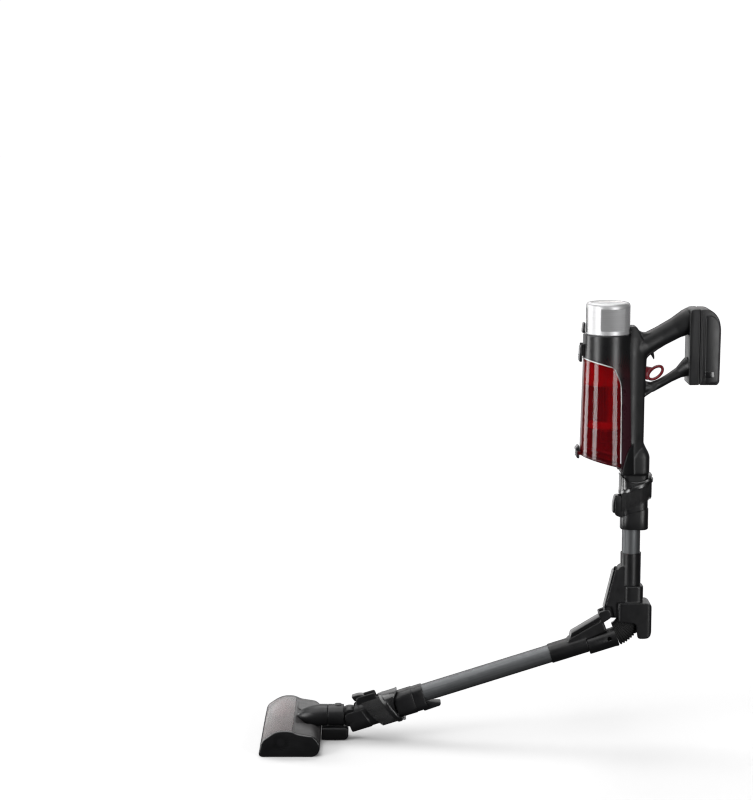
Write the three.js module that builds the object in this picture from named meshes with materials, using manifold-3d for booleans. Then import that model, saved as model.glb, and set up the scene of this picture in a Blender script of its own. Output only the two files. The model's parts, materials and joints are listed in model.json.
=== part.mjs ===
// Cordless stick vacuum: handheld unit, folding wand and powered floor head.
// Millimetres, +Z up. The wand lies along X, and Y = 0 is the symmetry plane.

import * as THREE from 'three';
import { mergeVertices } from 'three/addons/utils/BufferGeometryUtils.js';
import Module from 'manifold-3d';

const wasm = await Module();
wasm.setup();

// Driving dimensions

const GAP = 0.4;                  // clearance between neighbouring pieces
const HEAD_WIDTH = 250;
const WAND_SLOPE = 17.8;          // degrees that the lower wand rises from the floor
const HINGE_OFFSET = 46;          // folding hinge to wand centre line
const UPPER_LENGTH = 292.5;       // folding hinge to nozzle mouth
const LOWER_LENGTH = 554;         // folding hinge to pitch hinge of the head
const PITCH_HEIGHT = 46;          // pitch hinge above the floor
const TUBE_R = 17.5;
const TUBE_BORE = 16.3;
const DRUM_X = - 52.5;            // canister centre line, from the nozzle's
const DRUM_R = 48;
const CANISTER_WALL = 2.4;
const RIM_SLOPE = 0.262;          // fall of the canister's rim and lid planes, per mm of x
const RIM_Z = 196;                // rim plane at x = 0
const LID_Z = 2;                  // underside of the lid at x = 0
const NECK_Z = 47.5;              // steering axis above the floor
const NECK_R = 21.5;
const ROLLER = { x: - 137, z: 25, r: 22 };
const HALF = HEAD_WIDTH / 2;
const CAP_THICKNESS = 8;          // end caps of the head
const BARREL_X = 52;              // folding hinge to the hose across it
const BRUSH_BELOW = 438;          // how far the lower brush is below the folding hinge
const CELL_COUNT = 7;
const CELL_PITCH = 18.5;

const BEND = THREE.MathUtils.degToRad( 90 - WAND_SLOPE );
const PIVOT_X = LOWER_LENGTH * Math.sin( BEND ) - HINGE_OFFSET * Math.cos( BEND );
const PIVOT_Z = PITCH_HEIGHT + LOWER_LENGTH * Math.cos( BEND ) + HINGE_OFFSET * Math.sin( BEND );
const MIDDLE_X = 272.64;          // middle of the whole vacuum, from the pitch hinge

// Solids

function toSolid( geometry ) {

	const bare = geometry.clone();
	bare.deleteAttribute( 'normal' );
	bare.deleteAttribute( 'uv' );
	const merged = mergeVertices( bare, 1e-4 );
	const index = Array.from( merged.index.array );
	const triangles = [];
	for ( let i = 0; i < index.length; i += 3 ) {

		const [ a, b, c ] = index.slice( i, i + 3 );
		if ( a !== b && b !== c && c !== a ) triangles.push( a, b, c );

	}

	const mesh = new wasm.Mesh( {
		numProp: 3,
		vertProperties: Float32Array.from( merged.attributes.position.array ),
		triVerts: Uint32Array.from( triangles )
	} );
	return new wasm.Manifold( mesh );

}

function toGeometry( solid ) {

	const mesh = solid.getMesh();
	const geometry = new THREE.BufferGeometry();
	const positions = Float32Array.from( mesh.vertProperties );
	geometry.setAttribute( 'position', new THREE.BufferAttribute( positions, 3 ) );
	geometry.setIndex( new THREE.BufferAttribute( Uint32Array.from( mesh.triVerts ), 1 ) );
	geometry.computeVertexNormals();
	return geometry;

}

function block( x0, x1, y0, y1, z0, z1 ) {

	const geometry = new THREE.BoxGeometry( x1 - x0, y1 - y0, z1 - z0 );
	geometry.translate( ( x0 + x1 ) / 2, ( y0 + y1 ) / 2, ( z0 + z1 ) / 2 );
	return toSolid( geometry );

}

// A round bar between two points, tapering from radius r0 to r1.
function bar( from, to, r0, r1 = r0, sides = 22 ) {

	const start = new THREE.Vector3( ...from );
	const axis = new THREE.Vector3( ...to ).sub( start );
	const geometry = new THREE.CylinderGeometry( r1, r0, axis.length(), sides );
	geometry.translate( 0, axis.length() / 2, 0 );
	const up = new THREE.Vector3( 0, 1, 0 );
	geometry.applyQuaternion( new THREE.Quaternion().setFromUnitVectors( up, axis.normalize() ) );
	geometry.translate( start.x, start.y, start.z );
	return toSolid( geometry );

}

// A pin or knuckle along Y through ( x, z ), and the hole for one.
function crossBar( x, z, r, halfY, sides = 12 ) {

	return bar( [ x, - halfY, z ], [ x, halfY, z ], r, r, sides );

}

const crossHole = ( x, z, r, sides = 12 ) => crossBar( x, z, r, 30, sides );

function pipe( from, to, outer, inner, sides = 24 ) {

	return bar( from, to, outer, outer, sides ).subtract( bar( from, to, inner, inner, sides ) );

}

// A bar in the X-Z plane whose width along Y is scaled to halfY.
function ovalBar( from, to, r, halfY ) {

	const flat = ( [ x, z ] ) => [ x, 0, z ];
	const start = new THREE.Vector3( ...flat( from ) );
	const axis = new THREE.Vector3( ...flat( to ) ).sub( start );
	const geometry = new THREE.CylinderGeometry( r, r, axis.length(), 24 );
	geometry.translate( 0, axis.length() / 2, 0 );
	geometry.scale( 1, 1, halfY / r );
	geometry.rotateX( Math.PI / 2 );
	geometry.rotateY( Math.atan2( axis.x, axis.z ) );
	geometry.translate( start.x, 0, start.z );
	return toSolid( geometry );

}

function ball( x, z, r ) {

	const geometry = new THREE.SphereGeometry( r, 20, 12 );
	geometry.translate( x, 0, z );
	return toSolid( geometry );

}

// A solid of revolution about a vertical axis at x; the profile is [ radius, z ] points.
function turned( x, profile, sides = 30 ) {

	const points = profile.map( ( [ r, z ] ) => new THREE.Vector2( r, z ) );
	const geometry = new THREE.LatheGeometry( points, sides );
	geometry.rotateX( Math.PI / 2 );
	geometry.translate( x, 0, 0 );
	const solid = toSolid( geometry );
	return solid.volume() > 0 ? solid : toSolid( flipped( geometry ) );

}

function flipped( geometry ) {

	const index = geometry.index.array;
	for ( let i = 0; i < index.length; i += 3 ) {

		const first = index[ i ];
		index[ i ] = index[ i + 1 ];
		index[ i + 1 ] = first;

	}

	return geometry;

}

// A closed outline through corners [ u, v, cut ]; cut is how far each corner is rounded back.
function outline( corners ) {

	const shape = new THREE.Shape();
	const point = ( i ) => new THREE.Vector2( ...corners.at( i % corners.length ).slice( 0, 2 ) );
	corners.forEach( ( corner, i ) => {

		const here = point( i );
		const cut = corner[ 2 ] ?? 0;
		const towards = ( other ) => {

			const reach = Math.min( cut, here.distanceTo( other ) * 0.49 );
			return here.clone().add( other.sub( here ).setLength( reach ) );

		};

		const before = towards( point( i - 1 + corners.length ) );
		const after = towards( point( i + 1 ) );
		if ( i === 0 ) shape.moveTo( before.x, before.y );
		else shape.lineTo( before.x, before.y );
		if ( cut > 0 ) shape.quadraticCurveTo( here.x, here.y, after.x, after.y );

	} );
	shape.closePath();
	return shape;

}

function extrude( shape, depth, bevel, steps ) {

	return new THREE.ExtrudeGeometry( shape, {
		depth: depth - 2 * bevel,
		bevelEnabled: bevel > 0,
		bevelThickness: bevel,
		bevelSize: bevel,
		bevelOffset: - bevel,
		bevelSegments: 1,
		curveSegments: steps
	} ).translate( 0, 0, bevel );

}

// An X-Z outline given thickness from y0 to y1, with rounded edges where bevel is given.
// Corners are rounded a little more than the bevel, so that its inner edge keeps its shape.
function slab( corners, y0, y1, bevel = 0, steps = 3 ) {

	const eased = corners.map( ( [ x, z, cut = 0 ] ) => [ x, z, Math.max( cut, bevel * 1.8 ) ] );
	const geometry = extrude( outline( eased ), y1 - y0, bevel, steps );
	geometry.rotateX( Math.PI / 2 );
	geometry.translate( 0, y1, 0 );
	return toSolid( geometry );

}

// An upright prism from z0 to z1 on a rounded rectangle in X-Y.
function post( x0, x1, halfY, cut, z0, z1, bevel = 0 ) {

	const corners = [ [ x0, - halfY, cut ], [ x1, - halfY, cut ], [ x1, halfY, cut ], [ x0, halfY, cut ] ];
	const geometry = extrude( outline( corners ), z1 - z0, bevel, 4 );
	geometry.translate( 0, 0, z0 );
	return toSolid( geometry );

}

// An elliptical ring standing between two planes that slope along X.
function slopedRing( x, radiusX, radiusY, wall, top, bottom ) {

	const round = ( grow ) => {

		const shape = new THREE.Shape();
		shape.absellipse( x, 0, radiusX - grow, radiusY - grow, 0, Math.PI * 2 );
		return shape;

	};

	const prism = ( grow ) => toSolid( extrude( round( grow ), 160, 0, 12 ).translate( 0, 0, - 120 ) );
	return prism( 0 ).subtract( prism( wall ) ).intersect( layer( bottom, top ) );

}

// Everything between two sloping planes; each plane is [ z at x = 0, rise per mm ].
function layer( low, high, x0 = - 140, x1 = 60 ) {

	const at = ( [ z, rise ], x ) => [ x, z + rise * x ];
	return slab( [ at( low, x0 ), at( low, x1 ), at( high, x1 ), at( high, x0 ) ], - 130, 130 );

}

const bothSides = ( solid, make ) => make( make( solid, - 1 ), 1 );

// Materials and the scene graph

const paint = ( color, roughness, metalness = 0, opacity = 1 ) => new THREE.MeshStandardMaterial( {
	color, roughness, metalness, opacity, transparent: opacity < 1
} );

const look = {
	blackPlastic: paint( 0x161617, 0.45 ),
	glossBlack: paint( 0x0b0b0c, 0.15 ),
	greyPlastic: paint( 0x3a3839, 0.4 ),
	silver: paint( 0xc9c9cb, 0.3, 0.9 ),
	tube: paint( 0x4b4d50, 0.35, 0.8 ),
	clearRed: paint( 0x8a0a12, 0.08, 0, 0.55 ),
	red: paint( 0xc2121c, 0.35 ),
	darkRed: paint( 0x5c0d14, 0.35 ),
	smoked: paint( 0x6d6462, 0.12, 0, 0.5 ),
	rubber: paint( 0x101010, 0.8 ),
	bristle: paint( 0x0d0d0d, 0.9 ),
	steel: paint( 0x9a9b9d, 0.3, 1 ),
	foam: paint( 0x55565a, 0.95 ),
	paper: paint( 0xd8d6cf, 0.9 ),
	board: paint( 0x1f4a2c, 0.5 ),
	cell: paint( 0x2b5f8f, 0.4 ),
	roller: paint( 0x7a2d33, 0.85 )
};

const vacuum = new THREE.Group();

function frameAt( parent, x, z, turn = 0 ) {

	const group = new THREE.Group();
	group.position.set( x, 0, z );
	group.rotation.y = turn;
	parent.add( group );
	return group;

}

const handheld = frameAt( vacuum, PIVOT_X + HINGE_OFFSET - MIDDLE_X, PIVOT_Z + UPPER_LENGTH );
const upperWand = frameAt( vacuum, PIVOT_X - MIDDLE_X, PIVOT_Z );
const lowerWand = frameAt( vacuum, PIVOT_X - MIDDLE_X, PIVOT_Z, BEND );
const head = frameAt( vacuum, - MIDDLE_X, 0 );

function add( group, name, solid, material ) {

	const mesh = new THREE.Mesh( toGeometry( solid ), material );
	mesh.name = name;
	group.add( mesh );

}

// Handheld: drum, canister and cyclone

const canisterR = ( z ) => 52.5 - ( z - 15 ) / 41;
const rimPlane = ( lift = 0 ) => [ RIM_Z + lift, - RIM_SLOPE ];
const lidPlane = ( lift = 0 ) => [ LID_Z + lift, - RIM_SLOPE ];
const LID_HEIGHT = 9;
const LID_EDGE = - 25;            // the lid ends here; the rest of the bottom is fixed
const LID_HINGE = [ - 27.8, 2.5 ];

// A slightly tapered shell that follows the canister's wall.
const canisterShell = ( grow, z0 = - 6, z1 = 232 ) =>
	turned( DRUM_X, [ [ 0, z0 ], [ canisterR( z0 ) + grow, z0 ], [ canisterR( z1 ) + grow, z1 ], [ 0, z1 ] ] );

// Side outline of the drum and the cradle that runs down behind the canister.
const drumOutline = ( back ) => [
	[ - 112, RIM_Z + RIM_SLOPE * 112 - back ], [ - 44 - back, RIM_Z + RIM_SLOPE * 44 - back, 10 ],
	[ - 29 - back, 176, 14 ], [ - 27.5 - back, 1 ], [ 14, 1 ], [ 14, 270 ], [ - 112, 270 ]
];

function makeDrum() {

	const z = { top: 268, flange: 265, shoulder: 222, cradle: 190 };
	const outer = turned( DRUM_X, [
		[ 0, z.top ], [ DRUM_R, z.top ], [ DRUM_R, z.shoulder ],
		[ canisterR( z.cradle ) + 2.4, z.cradle ], [ canisterR( 0 ) + 2.4, 0 ], [ 0, 0 ]
	] );
	const inner = DRUM_R - 2.5;
	const hollow = turned( DRUM_X, [ [ 0, z.flange ], [ inner, z.flange ], [ inner, 180 ], [ 0, 180 ] ] );
	const chamber = hollow.intersect( layer( rimPlane( 3 ), [ 400, 0 ] ) );
	const lowerRoom = canisterShell( 0.4 ).intersect( layer( [ - 60, 0 ], rimPlane( 0 ) ) );
	const mouth = bar( [ DRUM_X, 0, 250 ], [ DRUM_X, 0, 290 ], 38 );
	const inlet = bar( [ DRUM_X, 0, 190 ], [ DRUM_X, 0, 230 ], 20 );
	const guide = block( - 110, - 101, - 9.4, 9.4, 225, 250 );
	const housing = block( - 106, - 99, - 12, 12, 226, 249 ).subtract( guide );
	const shell = outer.intersect( slab( drumOutline( 0 ), - 70, 70 ) ).add( housing );
	return shell.subtract( chamber ).subtract( lowerRoom ).subtract( mouth ).subtract( inlet );

}

function makeTrim() {

	const band = slab( drumOutline( 1.7 ), - 70, 70 ).subtract( slab( drumOutline( 0.3 ), - 71, 71 ) );
	const strip = canisterShell( 1.5 ).subtract( canisterShell( 0.4, - 7, 233 ) ).intersect( band );
	return strip.intersect( block( - 120, - 20, - 60, 60, 12, 240 ) );

}

function makeCanister() {

	const wall = canisterShell( 0, - 2 ).subtract( canisterShell( - CANISTER_WALL, - 3, 234 ) );
	const tall = layer( lidPlane( LID_HEIGHT + GAP ), rimPlane( - 0.6 ) );
	const fixed = layer( lidPlane(), lidPlane( LID_HEIGHT + 2 ), LID_EDGE + GAP );
	const floor = canisterShell( 0, - 3 ).intersect( layer( lidPlane(), lidPlane( 3 ), LID_EDGE + GAP ) );
	const inlet = bar( [ - 8, 0, - 10 ], [ - 8, 0, 20 ], 7 );
	const knuckle = ( solid, side ) => {

		const width = [ side * 12 - 2.5, side * 12 + 2.5 ];
		const foot = block( - 30.8, - 25.2, ...width, 0.9, 9 );
		return solid.add( foot ).add( block( - 30.8, - 22.5, ...width, 8.6, 10.5 ) );

	};

	const hinged = bothSides( wall.intersect( tall.add( fixed ) ).add( floor ), knuckle );
	return hinged.subtract( crossHole( ...LID_HINGE, 1.7 ) ).subtract( inlet );

}

function makeLid() {

	const hollow = canisterShell( - 3.2, - 4 ).intersect( layer( lidPlane( 3 ), [ 90, 0 ] ) );
	const tray = canisterShell( - 0.3, - 3 ).subtract( hollow );
	const plate = tray.intersect( layer( lidPlane(), lidPlane( LID_HEIGHT ), - 140, LID_EDGE ) );
	const [ x, z ] = LID_HINGE;
	const knuckle = crossBar( x, z, 3, 9, 16 );
	const web = block( x - 3, x + 2, - 9, 9, z, 10 );
	const slot = ( solid, side ) => {

		return solid.subtract( block( x - 3.6, x + 9, side * 12 - 3, side * 12 + 3, - 6, 11 ) );

	};
	const ear = ( solid, side ) => {

		return solid.add( block( - 110, - 101.5, side * 11.8 - 1.3, side * 11.8 + 1.3, 29.5, 36 ) );

	};
	const hinged = bothSides( plate, slot ).add( knuckle ).add( web );
	return bothSides( hinged, ear ).subtract( crossHole( x, z, 1.7 ) );

}

function makeSeal() {

	const band = layer( lidPlane( 3.3 ), lidPlane( 8.6 ), - 140, LID_EDGE - 0.6 );
	const ring = canisterShell( - 3.6, - 3 ).intersect( band );
	const inside = canisterShell( - 6.4, - 3 ).intersect( layer( [ - 40, 0 ], [ 90, 0 ], - 140, LID_EDGE - 4 ) );
	return ring.subtract( inside );

}

function makeLatch() {

	const side = [ [ - 112, 33, 4 ], [ - 110.5, 22, 2 ], [ - 106.5, 22, 1 ], [ - 106, 46, 2 ], [ - 109, 47, 2 ] ];
	return slab( side, - 10, 10 );

}

function makeShroud() {

	const sides = 28;
	const wall = pipe( [ DRUM_X, 0, 96 ], [ DRUM_X, 0, 230 ], 33, 31.6, sides );
	return wall.intersect( layer( [ 0, 0 ], rimPlane( - 1.2 ) ) );

}

function makeCore() {

	return turned( DRUM_X, [
		[ 0, 95.6 ], [ 33, 95.6 ], [ 38, 84 ], [ 36.5, 83 ], [ 28, 93 ], [ 15, 93 ],
		[ 11, 52 ], [ 9, 52 ], [ 13, 93 ], [ 0, 93 ]
	], 28 );

}

function makeExhaustCap() {

	const r = DRUM_R - 5.3;
	return turned( DRUM_X, [
		[ 0, 330 ], [ r - 6, 330 ], [ r - 1.6, 328.4 ], [ r, 324 ], [ r, 268.5 ], [ r - 2, 268.5 ],
		[ r - 2, 323 ], [ r - 6, 327.6 ], [ 0, 327.6 ]
	], 40 );

}

function makeMotor() {

	return turned( DRUM_X, [
		[ 0, 237 ], [ 27, 237 ], [ 29, 242 ], [ 29, 253 ], [ 44.5, 253 ], [ 44.5, 256.5 ], [ 29, 256.5 ],
		[ 29, 266 ], [ 13, 270 ], [ 13, 276 ], [ 0, 276 ]
	], 24 );

}

function makeImpeller() {

	const hub = turned( DRUM_X, [ [ 0, 223 ], [ 7, 223 ], [ 14, 228 ], [ 30, 232 ], [ 30, 234 ], [ 0, 234 ] ], 20 );
	let wheel = hub;
	for ( let i = 0; i < 7; i ++ ) {

		const turn = i * Math.PI * 2 / 7;
		const blade = new THREE.BoxGeometry( 22, 1.6, 7 );
		blade.translate( 17, 0, 228.5 );
		blade.rotateZ( turn );
		blade.translate( DRUM_X, 0, 0 );
		wheel = wheel.add( toSolid( blade ) );

	}

	return wheel;

}

function makeHandheldDrum() {

	add( handheld, 'motor_drum', makeDrum(), look.blackPlastic );
	add( handheld, 'drum_trim', makeTrim(), look.silver );
	add( handheld, 'motor', makeMotor(), look.steel );
	add( handheld, 'impeller', makeImpeller(), look.greyPlastic );
	add( handheld, 'exhaust_cap', makeExhaustCap(), look.silver );
	add( handheld, 'exhaust_filter', pipe( [ DRUM_X, 0, 277 ], [ DRUM_X, 0, 318 ], 38, 24 ), look.paper );
	const latchSide = [ [ - 103, 271, 2 ], [ - 97.7, 271 ], [ - 97.7, 290, 1 ], [ - 101, 290, 3 ] ];
	add( handheld, 'cap_latch', slab( latchSide, - 8, 8 ), look.blackPlastic );
	const buttonSide = [ [ - 109, 214, 3 ], [ - 103.5, 214, 1 ], [ - 103.5, 245, 1 ], [ - 107, 245, 3 ] ];
	add( handheld, 'canister_button', slab( buttonSide, - 9, 9 ), look.blackPlastic );
	add( handheld, 'canister', makeCanister(), look.clearRed );
	add( handheld, 'canister_lid', makeLid(), look.clearRed );
	add( handheld, 'lid_seal', makeSeal(), look.rubber );
	add( handheld, 'lid_pin', crossBar( ...LID_HINGE, 1.4, 14 ), look.steel );
	add( handheld, 'lid_latch', makeLatch(), look.blackPlastic );
	add( handheld, 'shroud_mesh', makeShroud(), look.red );
	add( handheld, 'cyclone_core', makeCore(), look.red );
	add( handheld, 'prefilter', pipe( [ DRUM_X, 0, 106 ], [ DRUM_X, 0, 190 ], 27, 12, 24 ), look.foam );

}

// Handheld: body halves with grip, trigger and battery

const DOCK_X = 104;
const TRIGGER_PIVOT = [ 6, 197 ];

function makeBody() {

	const spineSide = slab( [
		[ - 14, - 9 ], [ 31, - 9, 2 ], [ 31, 36, 6 ], [ 20, 50, 8 ], [ 20, 150, 4 ], [ 24, 240, 10 ], [ 2, 284, 6 ],
		[ - 10, 284, 8 ], [ - 14, 262 ]
	], - 30, 30 );
	const spinePlan = [
		[ - 14, - 29 ], [ - 2, - 29, 10 ], [ 24, - 15, 10 ], [ 24, 15, 10 ], [ - 2, 29, 10 ], [ - 14, 29 ]
	];
	const spineTall = toSolid( extrude( outline( spinePlan ), 300, 0, 4 ).translate( 0, 0, - 9 ) );
	const nozzle = post( - 24.3, 32, 22, 15, - 9.6, 38, 2 ).add( post( - 22, 31, 20, 14, - 32, - 8 ) );
	const web = slab( [
		[ - 4, 262, 4 ], [ - 6, 282, 4 ], [ - 1, 285, 2 ], [ 13, 269, 10 ],
		[ DOCK_X - GAP, 315 ], [ DOCK_X - GAP, 267 ],
		[ 40, 232.5, 5 ], [ 31, 227, 6 ], [ 12, 222, 8 ], [ 8, 205, 6 ], [ - 4, 190, 4 ]
	], - 13, 13 );
	const round = ovalBar( [ 22, 246 ], [ 100, 289 ], 21.5, 18 );
	const grip = web.add( round.intersect( block( 8, DOCK_X - GAP, - 30, 30, 200, 330 ) ) );
	const strut = slab( [
		[ 4, 196, 4 ], [ 14, 182, 8 ], [ 34, 166, 10 ], [ 56, 179, 6 ], [ 82, 203, 8 ], [ DOCK_X - GAP, 226 ],
		[ DOCK_X - GAP, 188 ], [ 80, 176, 10 ], [ 23, 145, 3 ], [ 4, 140 ]
	], - 12, 12 );
	const whole = spineSide.intersect( spineTall ).add( nozzle ).add( grip ).add( strut );
	const drumRoom = turned( DRUM_X, [
		[ 0, 275 ], [ DRUM_R + GAP, 275 ], [ DRUM_R + GAP, 222 ], [ canisterR( 190 ) + 2.8, 190 ],
		[ canisterR( 0 ) + 2.8, 0.4 ], [ 0, 0.4 ]
	] );
	const capRoom = bar( [ DRUM_X, 0, 270 ], [ DRUM_X, 0, 340 ], DRUM_R - 4.6 );
	return whole.subtract( drumRoom ).subtract( capRoom );

}

function hollowBody( body ) {

	const spineRoom = slab( [
		[ 6.5, 52 ], [ 17, 52 ], [ 17, 150 ], [ 20, 240 ], [ 8, 262 ], [ - 1, 262 ], [ - 1, 215 ], [ 1, 190 ]
	], - 9, 9 );
	const gripRoom = slab( [ [ 14, 238 ], [ 26, 236 ], [ 100, 275 ], [ 100, 304 ], [ 20, 262 ] ], - 11, 11 );
	const triggerSlot = block( 0, 34, - 4.4, 4.4, 180, 216 );
	const duct = bar( [ 0, 0, - 40 ], [ 0, 0, 4 ], 16.5 );
	const pin = crossBar( ...TRIGGER_PIVOT, 2.3, 13 );
	return body.subtract( spineRoom ).subtract( gripRoom ).subtract( triggerSlot ).subtract( duct ).subtract( pin );

}

function makeTrigger() {

	const angle = THREE.MathUtils.degToRad( 40 );
	const loop = ( long, wide ) => {

		const shape = new THREE.Shape();
		shape.absellipse( 42, 191, long, wide, 0, Math.PI * 2, false, angle );
		return shape;

	};

	const plate = ( shape, halfY, bevel ) =>
		toSolid( extrude( shape, halfY * 2, bevel, 12 ).rotateX( Math.PI / 2 ).translate( 0, halfY, 0 ) );
	const ring = plate( loop( 19, 12 ), 4, 1 );
	const root = slab( [
		[ 1.5, 204, 2 ], [ 14, 204, 4 ], [ 33, 194, 3 ], [ 32, 178, 3 ],
		[ 22, 181, 4 ], [ 12, 192, 4 ], [ 1.5, 192, 2 ]
	], - 4, 4 );
	const opening = plate( loop( 15.6, 8.4 ), 6, 0 );
	return ring.add( root ).subtract( opening ).subtract( crossHole( ...TRIGGER_PIVOT, 2.4 ) );

}

function makeCells() {

	const lowest = 244 - CELL_PITCH * ( CELL_COUNT - 1 ) / 2;
	const cell = ( i ) => crossBar( 146, lowest + i * CELL_PITCH, 9.4, 32.5, 12 );
	let cells = cell( 0 );
	for ( let i = 1; i < CELL_COUNT; i ++ ) cells = cells.add( cell( i ) );
	return cells;

}

function makeBattery() {

	const side = [ [ 124.5, 172, 2 ], [ 162, 172, 8 ], [ 164, 300, 20 ], [ 146, 318.5, 20 ], [ 124.5, 318.5, 2 ] ];
	const room = [ [ 128, 176 ], [ 159.5, 176 ], [ 160.5, 300, 8 ], [ 146, 314, 8 ], [ 128, 314 ] ];
	const keyRoom = ( solid, sign ) => solid.subtract( block( 132, 154, sign * 35 - 4, sign * 35 + 4, 184, 200 ) );
	const contacts = block( 120, 130, - 20, 20, 200, 290 );
	const tub = slab( side, - 36, 36, 3 ).subtract( slab( room, - 33, 33 ) ).subtract( contacts );
	return bothSides( tub, keyRoom );

}

function makeDock() {

	const side = [
		[ DOCK_X, 170.5, 3 ], [ 124, 171, 2 ], [ 124, 319, 2 ], [ DOCK_X + 3, 319, 8 ], [ DOCK_X, 300, 10 ]
	];
	return slab( side, - 30, 30, 2 ).subtract( block( 108, 130, - 20, 20, 200, 290 ) );

}

function makeHandheldBody() {

	const body = hollowBody( makeBody() );
	add( handheld, 'body_left', body.intersect( block( - 60, 130, - 60, - 0.15, - 60, 330 ) ), look.blackPlastic );
	add( handheld, 'body_right', body.intersect( block( - 60, 130, 0.15, 60, - 60, 330 ) ), look.blackPlastic );
	add( handheld, 'trigger', makeTrigger(), look.darkRed );
	add( handheld, 'trigger_pin', crossBar( ...TRIGGER_PIVOT, 1.9, 12 ), look.steel );
	add( handheld, 'control_board', block( 9, 11, - 8, 8, 70, 140 ), look.board );
	add( handheld, 'inlet_duct', pipe( [ 0, 0, - 74 ], [ 0, 0, - 3.5 ], 16, 14 ), look.blackPlastic );
	add( handheld, 'battery_dock', makeDock(), look.blackPlastic );
	add( handheld, 'battery_case', makeBattery(), look.blackPlastic );
	add( handheld, 'battery_cells', makeCells(), look.cell );
	const key = ( y0, y1 ) => block( 133, 153, y0, y1, 185, 199 );
	add( handheld, 'battery_key_left', key( - 37.5, - 35 ), look.blackPlastic );
	add( handheld, 'battery_key_right', key( 35, 37.5 ), look.blackPlastic );

}

// The dusting brush is the same part at the nozzle and at the wand's lower end.

const BRUSH_SLOPE = 0.373;

function makeBrushSleeve() {

	const neck = post( - 25, 37, 25, 18, - 50, - 10 ).subtract( post( - 22.7, 33.5, 21, 15, - 60, 0 ) );
	const scoop = bar( [ 6, - 40, 17.3 ], [ 6, 40, 17.3 ], 41.3, 41.3, 40 );
	const band = slopedRing( 7.5, 33.5, 31, 6, [ - 31.5, BRUSH_SLOPE ], [ - 40.5, BRUSH_SLOPE ] );
	const bridge = slopedRing( 6, 31.5, 26, 6, [ - 33, BRUSH_SLOPE ], [ - 39, BRUSH_SLOPE ] );
	const upper = neck.subtract( scoop ).intersect( layer( [ - 38, BRUSH_SLOPE ], [ 20, 0 ] ) );
	return upper.add( bridge ).add( band ).subtract( post( - 22.7, 33.5, 21, 15, - 80, 0 ) );

}

function makeBristles() {

	const ring = slopedRing( 6.5, 33, 30, 3.2, [ - 40.9, BRUSH_SLOPE ], [ - 76, 0.5 ] );
	return ring.subtract( block( - 40, - 10, - 13, 13, - 100, - 40 ) );

}

// Sleeve and collar shapes at a wand end; z is measured from the nozzle or wand mouth.
function makeCollar( bore, plug ) {

	const outer = post( - 22, 32.6, 20, 19, - 121, - 50.5, 2 );
	const ears = ( solid, side ) => {

		return solid.add( block( - 34, - 18, side * 10.2 - 1.6, side * 10.2 + 1.6, - 92, - 53 ) );

	};
	return bothSides( outer, ears ).subtract( bar( [ 0, 0, - 130 ], [ 0, 0, - 108 ], bore ) )
		.subtract( bar( [ 0, 0, - 120 ], [ 0, 0, - 40 ], plug ) );

}

// A release button between z0 and z1; slant lowers its outer edge.
function makeButton( z0, z1, slant = 0 ) {

	const side = [
		[ - 38, z0 - slant, 2 ], [ - 27, z0, 1 ], [ - 27, z1, 1 ], [ - 35, z1, 6 ], [ - 38, ( z0 + z1 ) / 2, 4 ]
	];
	return slab( side, - 8.2, 8.2 );

}

add( handheld, 'brush_sleeve_upper', makeBrushSleeve(), look.blackPlastic );
add( handheld, 'bristles_upper', makeBristles(), look.bristle );
makeHandheldDrum();
makeHandheldBody();

// Upper wand: collar, tube and the upper half of the folding joint

const tubeAlong = ( z0, z1, outer = TUBE_R, inner = TUBE_BORE ) =>
	pipe( [ HINGE_OFFSET, 0, z0 ], [ HINGE_OFFSET, 0, z1 ], outer, inner );

function makeUpperHousing() {

	const neck = tubeAlong( 57.6, 123.5, 19.8, 15.5 );
	const shoulder = slab( [
		[ 30, 92, 4 ], [ 18, 88, 4 ], [ 6, 30, 4 ], [ 5, 18 ], [ 17, 20, 2 ], [ 31, 46, 6 ], [ 31, 58 ]
	], - 15, 15 );
	const eye = slab( [
		[ 5.5, 22 ], [ - 6, 6, 3 ], [ - 7, - 6, 6 ], [ 7, - 7, 6 ], [ 16, 10, 4 ], [ 17, 22 ]
	], - 8, 8 );
	const seat = bar( [ HINGE_OFFSET, 0, 100 ], [ HINGE_OFFSET, 0, 130 ], 17.9 );
	const bore = bar( [ HINGE_OFFSET, 0, 50 ], [ HINGE_OFFSET, 0, 130 ], 15.5 );
	return neck.add( shoulder ).add( eye ).subtract( seat ).subtract( bore ).subtract( crossHole( 0, 0, 3.8, 16 ) );

}

function makeKnuckle() {

	const throat = post( 31.6, 70, 20, 12, 22, 57.2 );
	const box = slab( [
		[ 20, 24.5, 3 ], [ 87, 24.5, 10 ], [ 87, - 47.5, 14 ], [ 60, - 47.5, 4 ], [ 54, - 17.5, 6 ], [ 20, - 5, 3 ]
	], - 26, 26, 3 );
	const room = slab( [ [ 23, 21.5 ], [ 84, 21.5, 8 ], [ 84, - 60 ], [ 23, - 60 ] ], - 22.5, 22.5 );
	const floorless = block( 10, 74, - 22.5, 22.5, - 60, 0 );
	const bore = bar( [ 52, 0, 10 ], [ 52, 0, 70 ], 15.5 );
	return throat.add( box ).subtract( room ).subtract( floorless ).subtract( bore );

}

function makeLever() {

	return slab( [ [ 11, 87, 2 ], [ - 7, 8, 3 ], [ - 1, 20, 1 ], [ 1.5, 30, 1 ], [ 13, 87.5, 1 ] ], - 11, 11 );

}

// The path of the hose, a quarter turn about the hinge.
class HosePath extends THREE.Curve {

	getPoint( t ) {

		const start = THREE.MathUtils.degToRad( 6 );
		const end = THREE.MathUtils.degToRad( - 65.5 );
		const angle = start + t * ( end - start );
		return new THREE.Vector3( BARREL_X * Math.cos( angle ), 0, BARREL_X * Math.sin( angle ) );

	}

}

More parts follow.
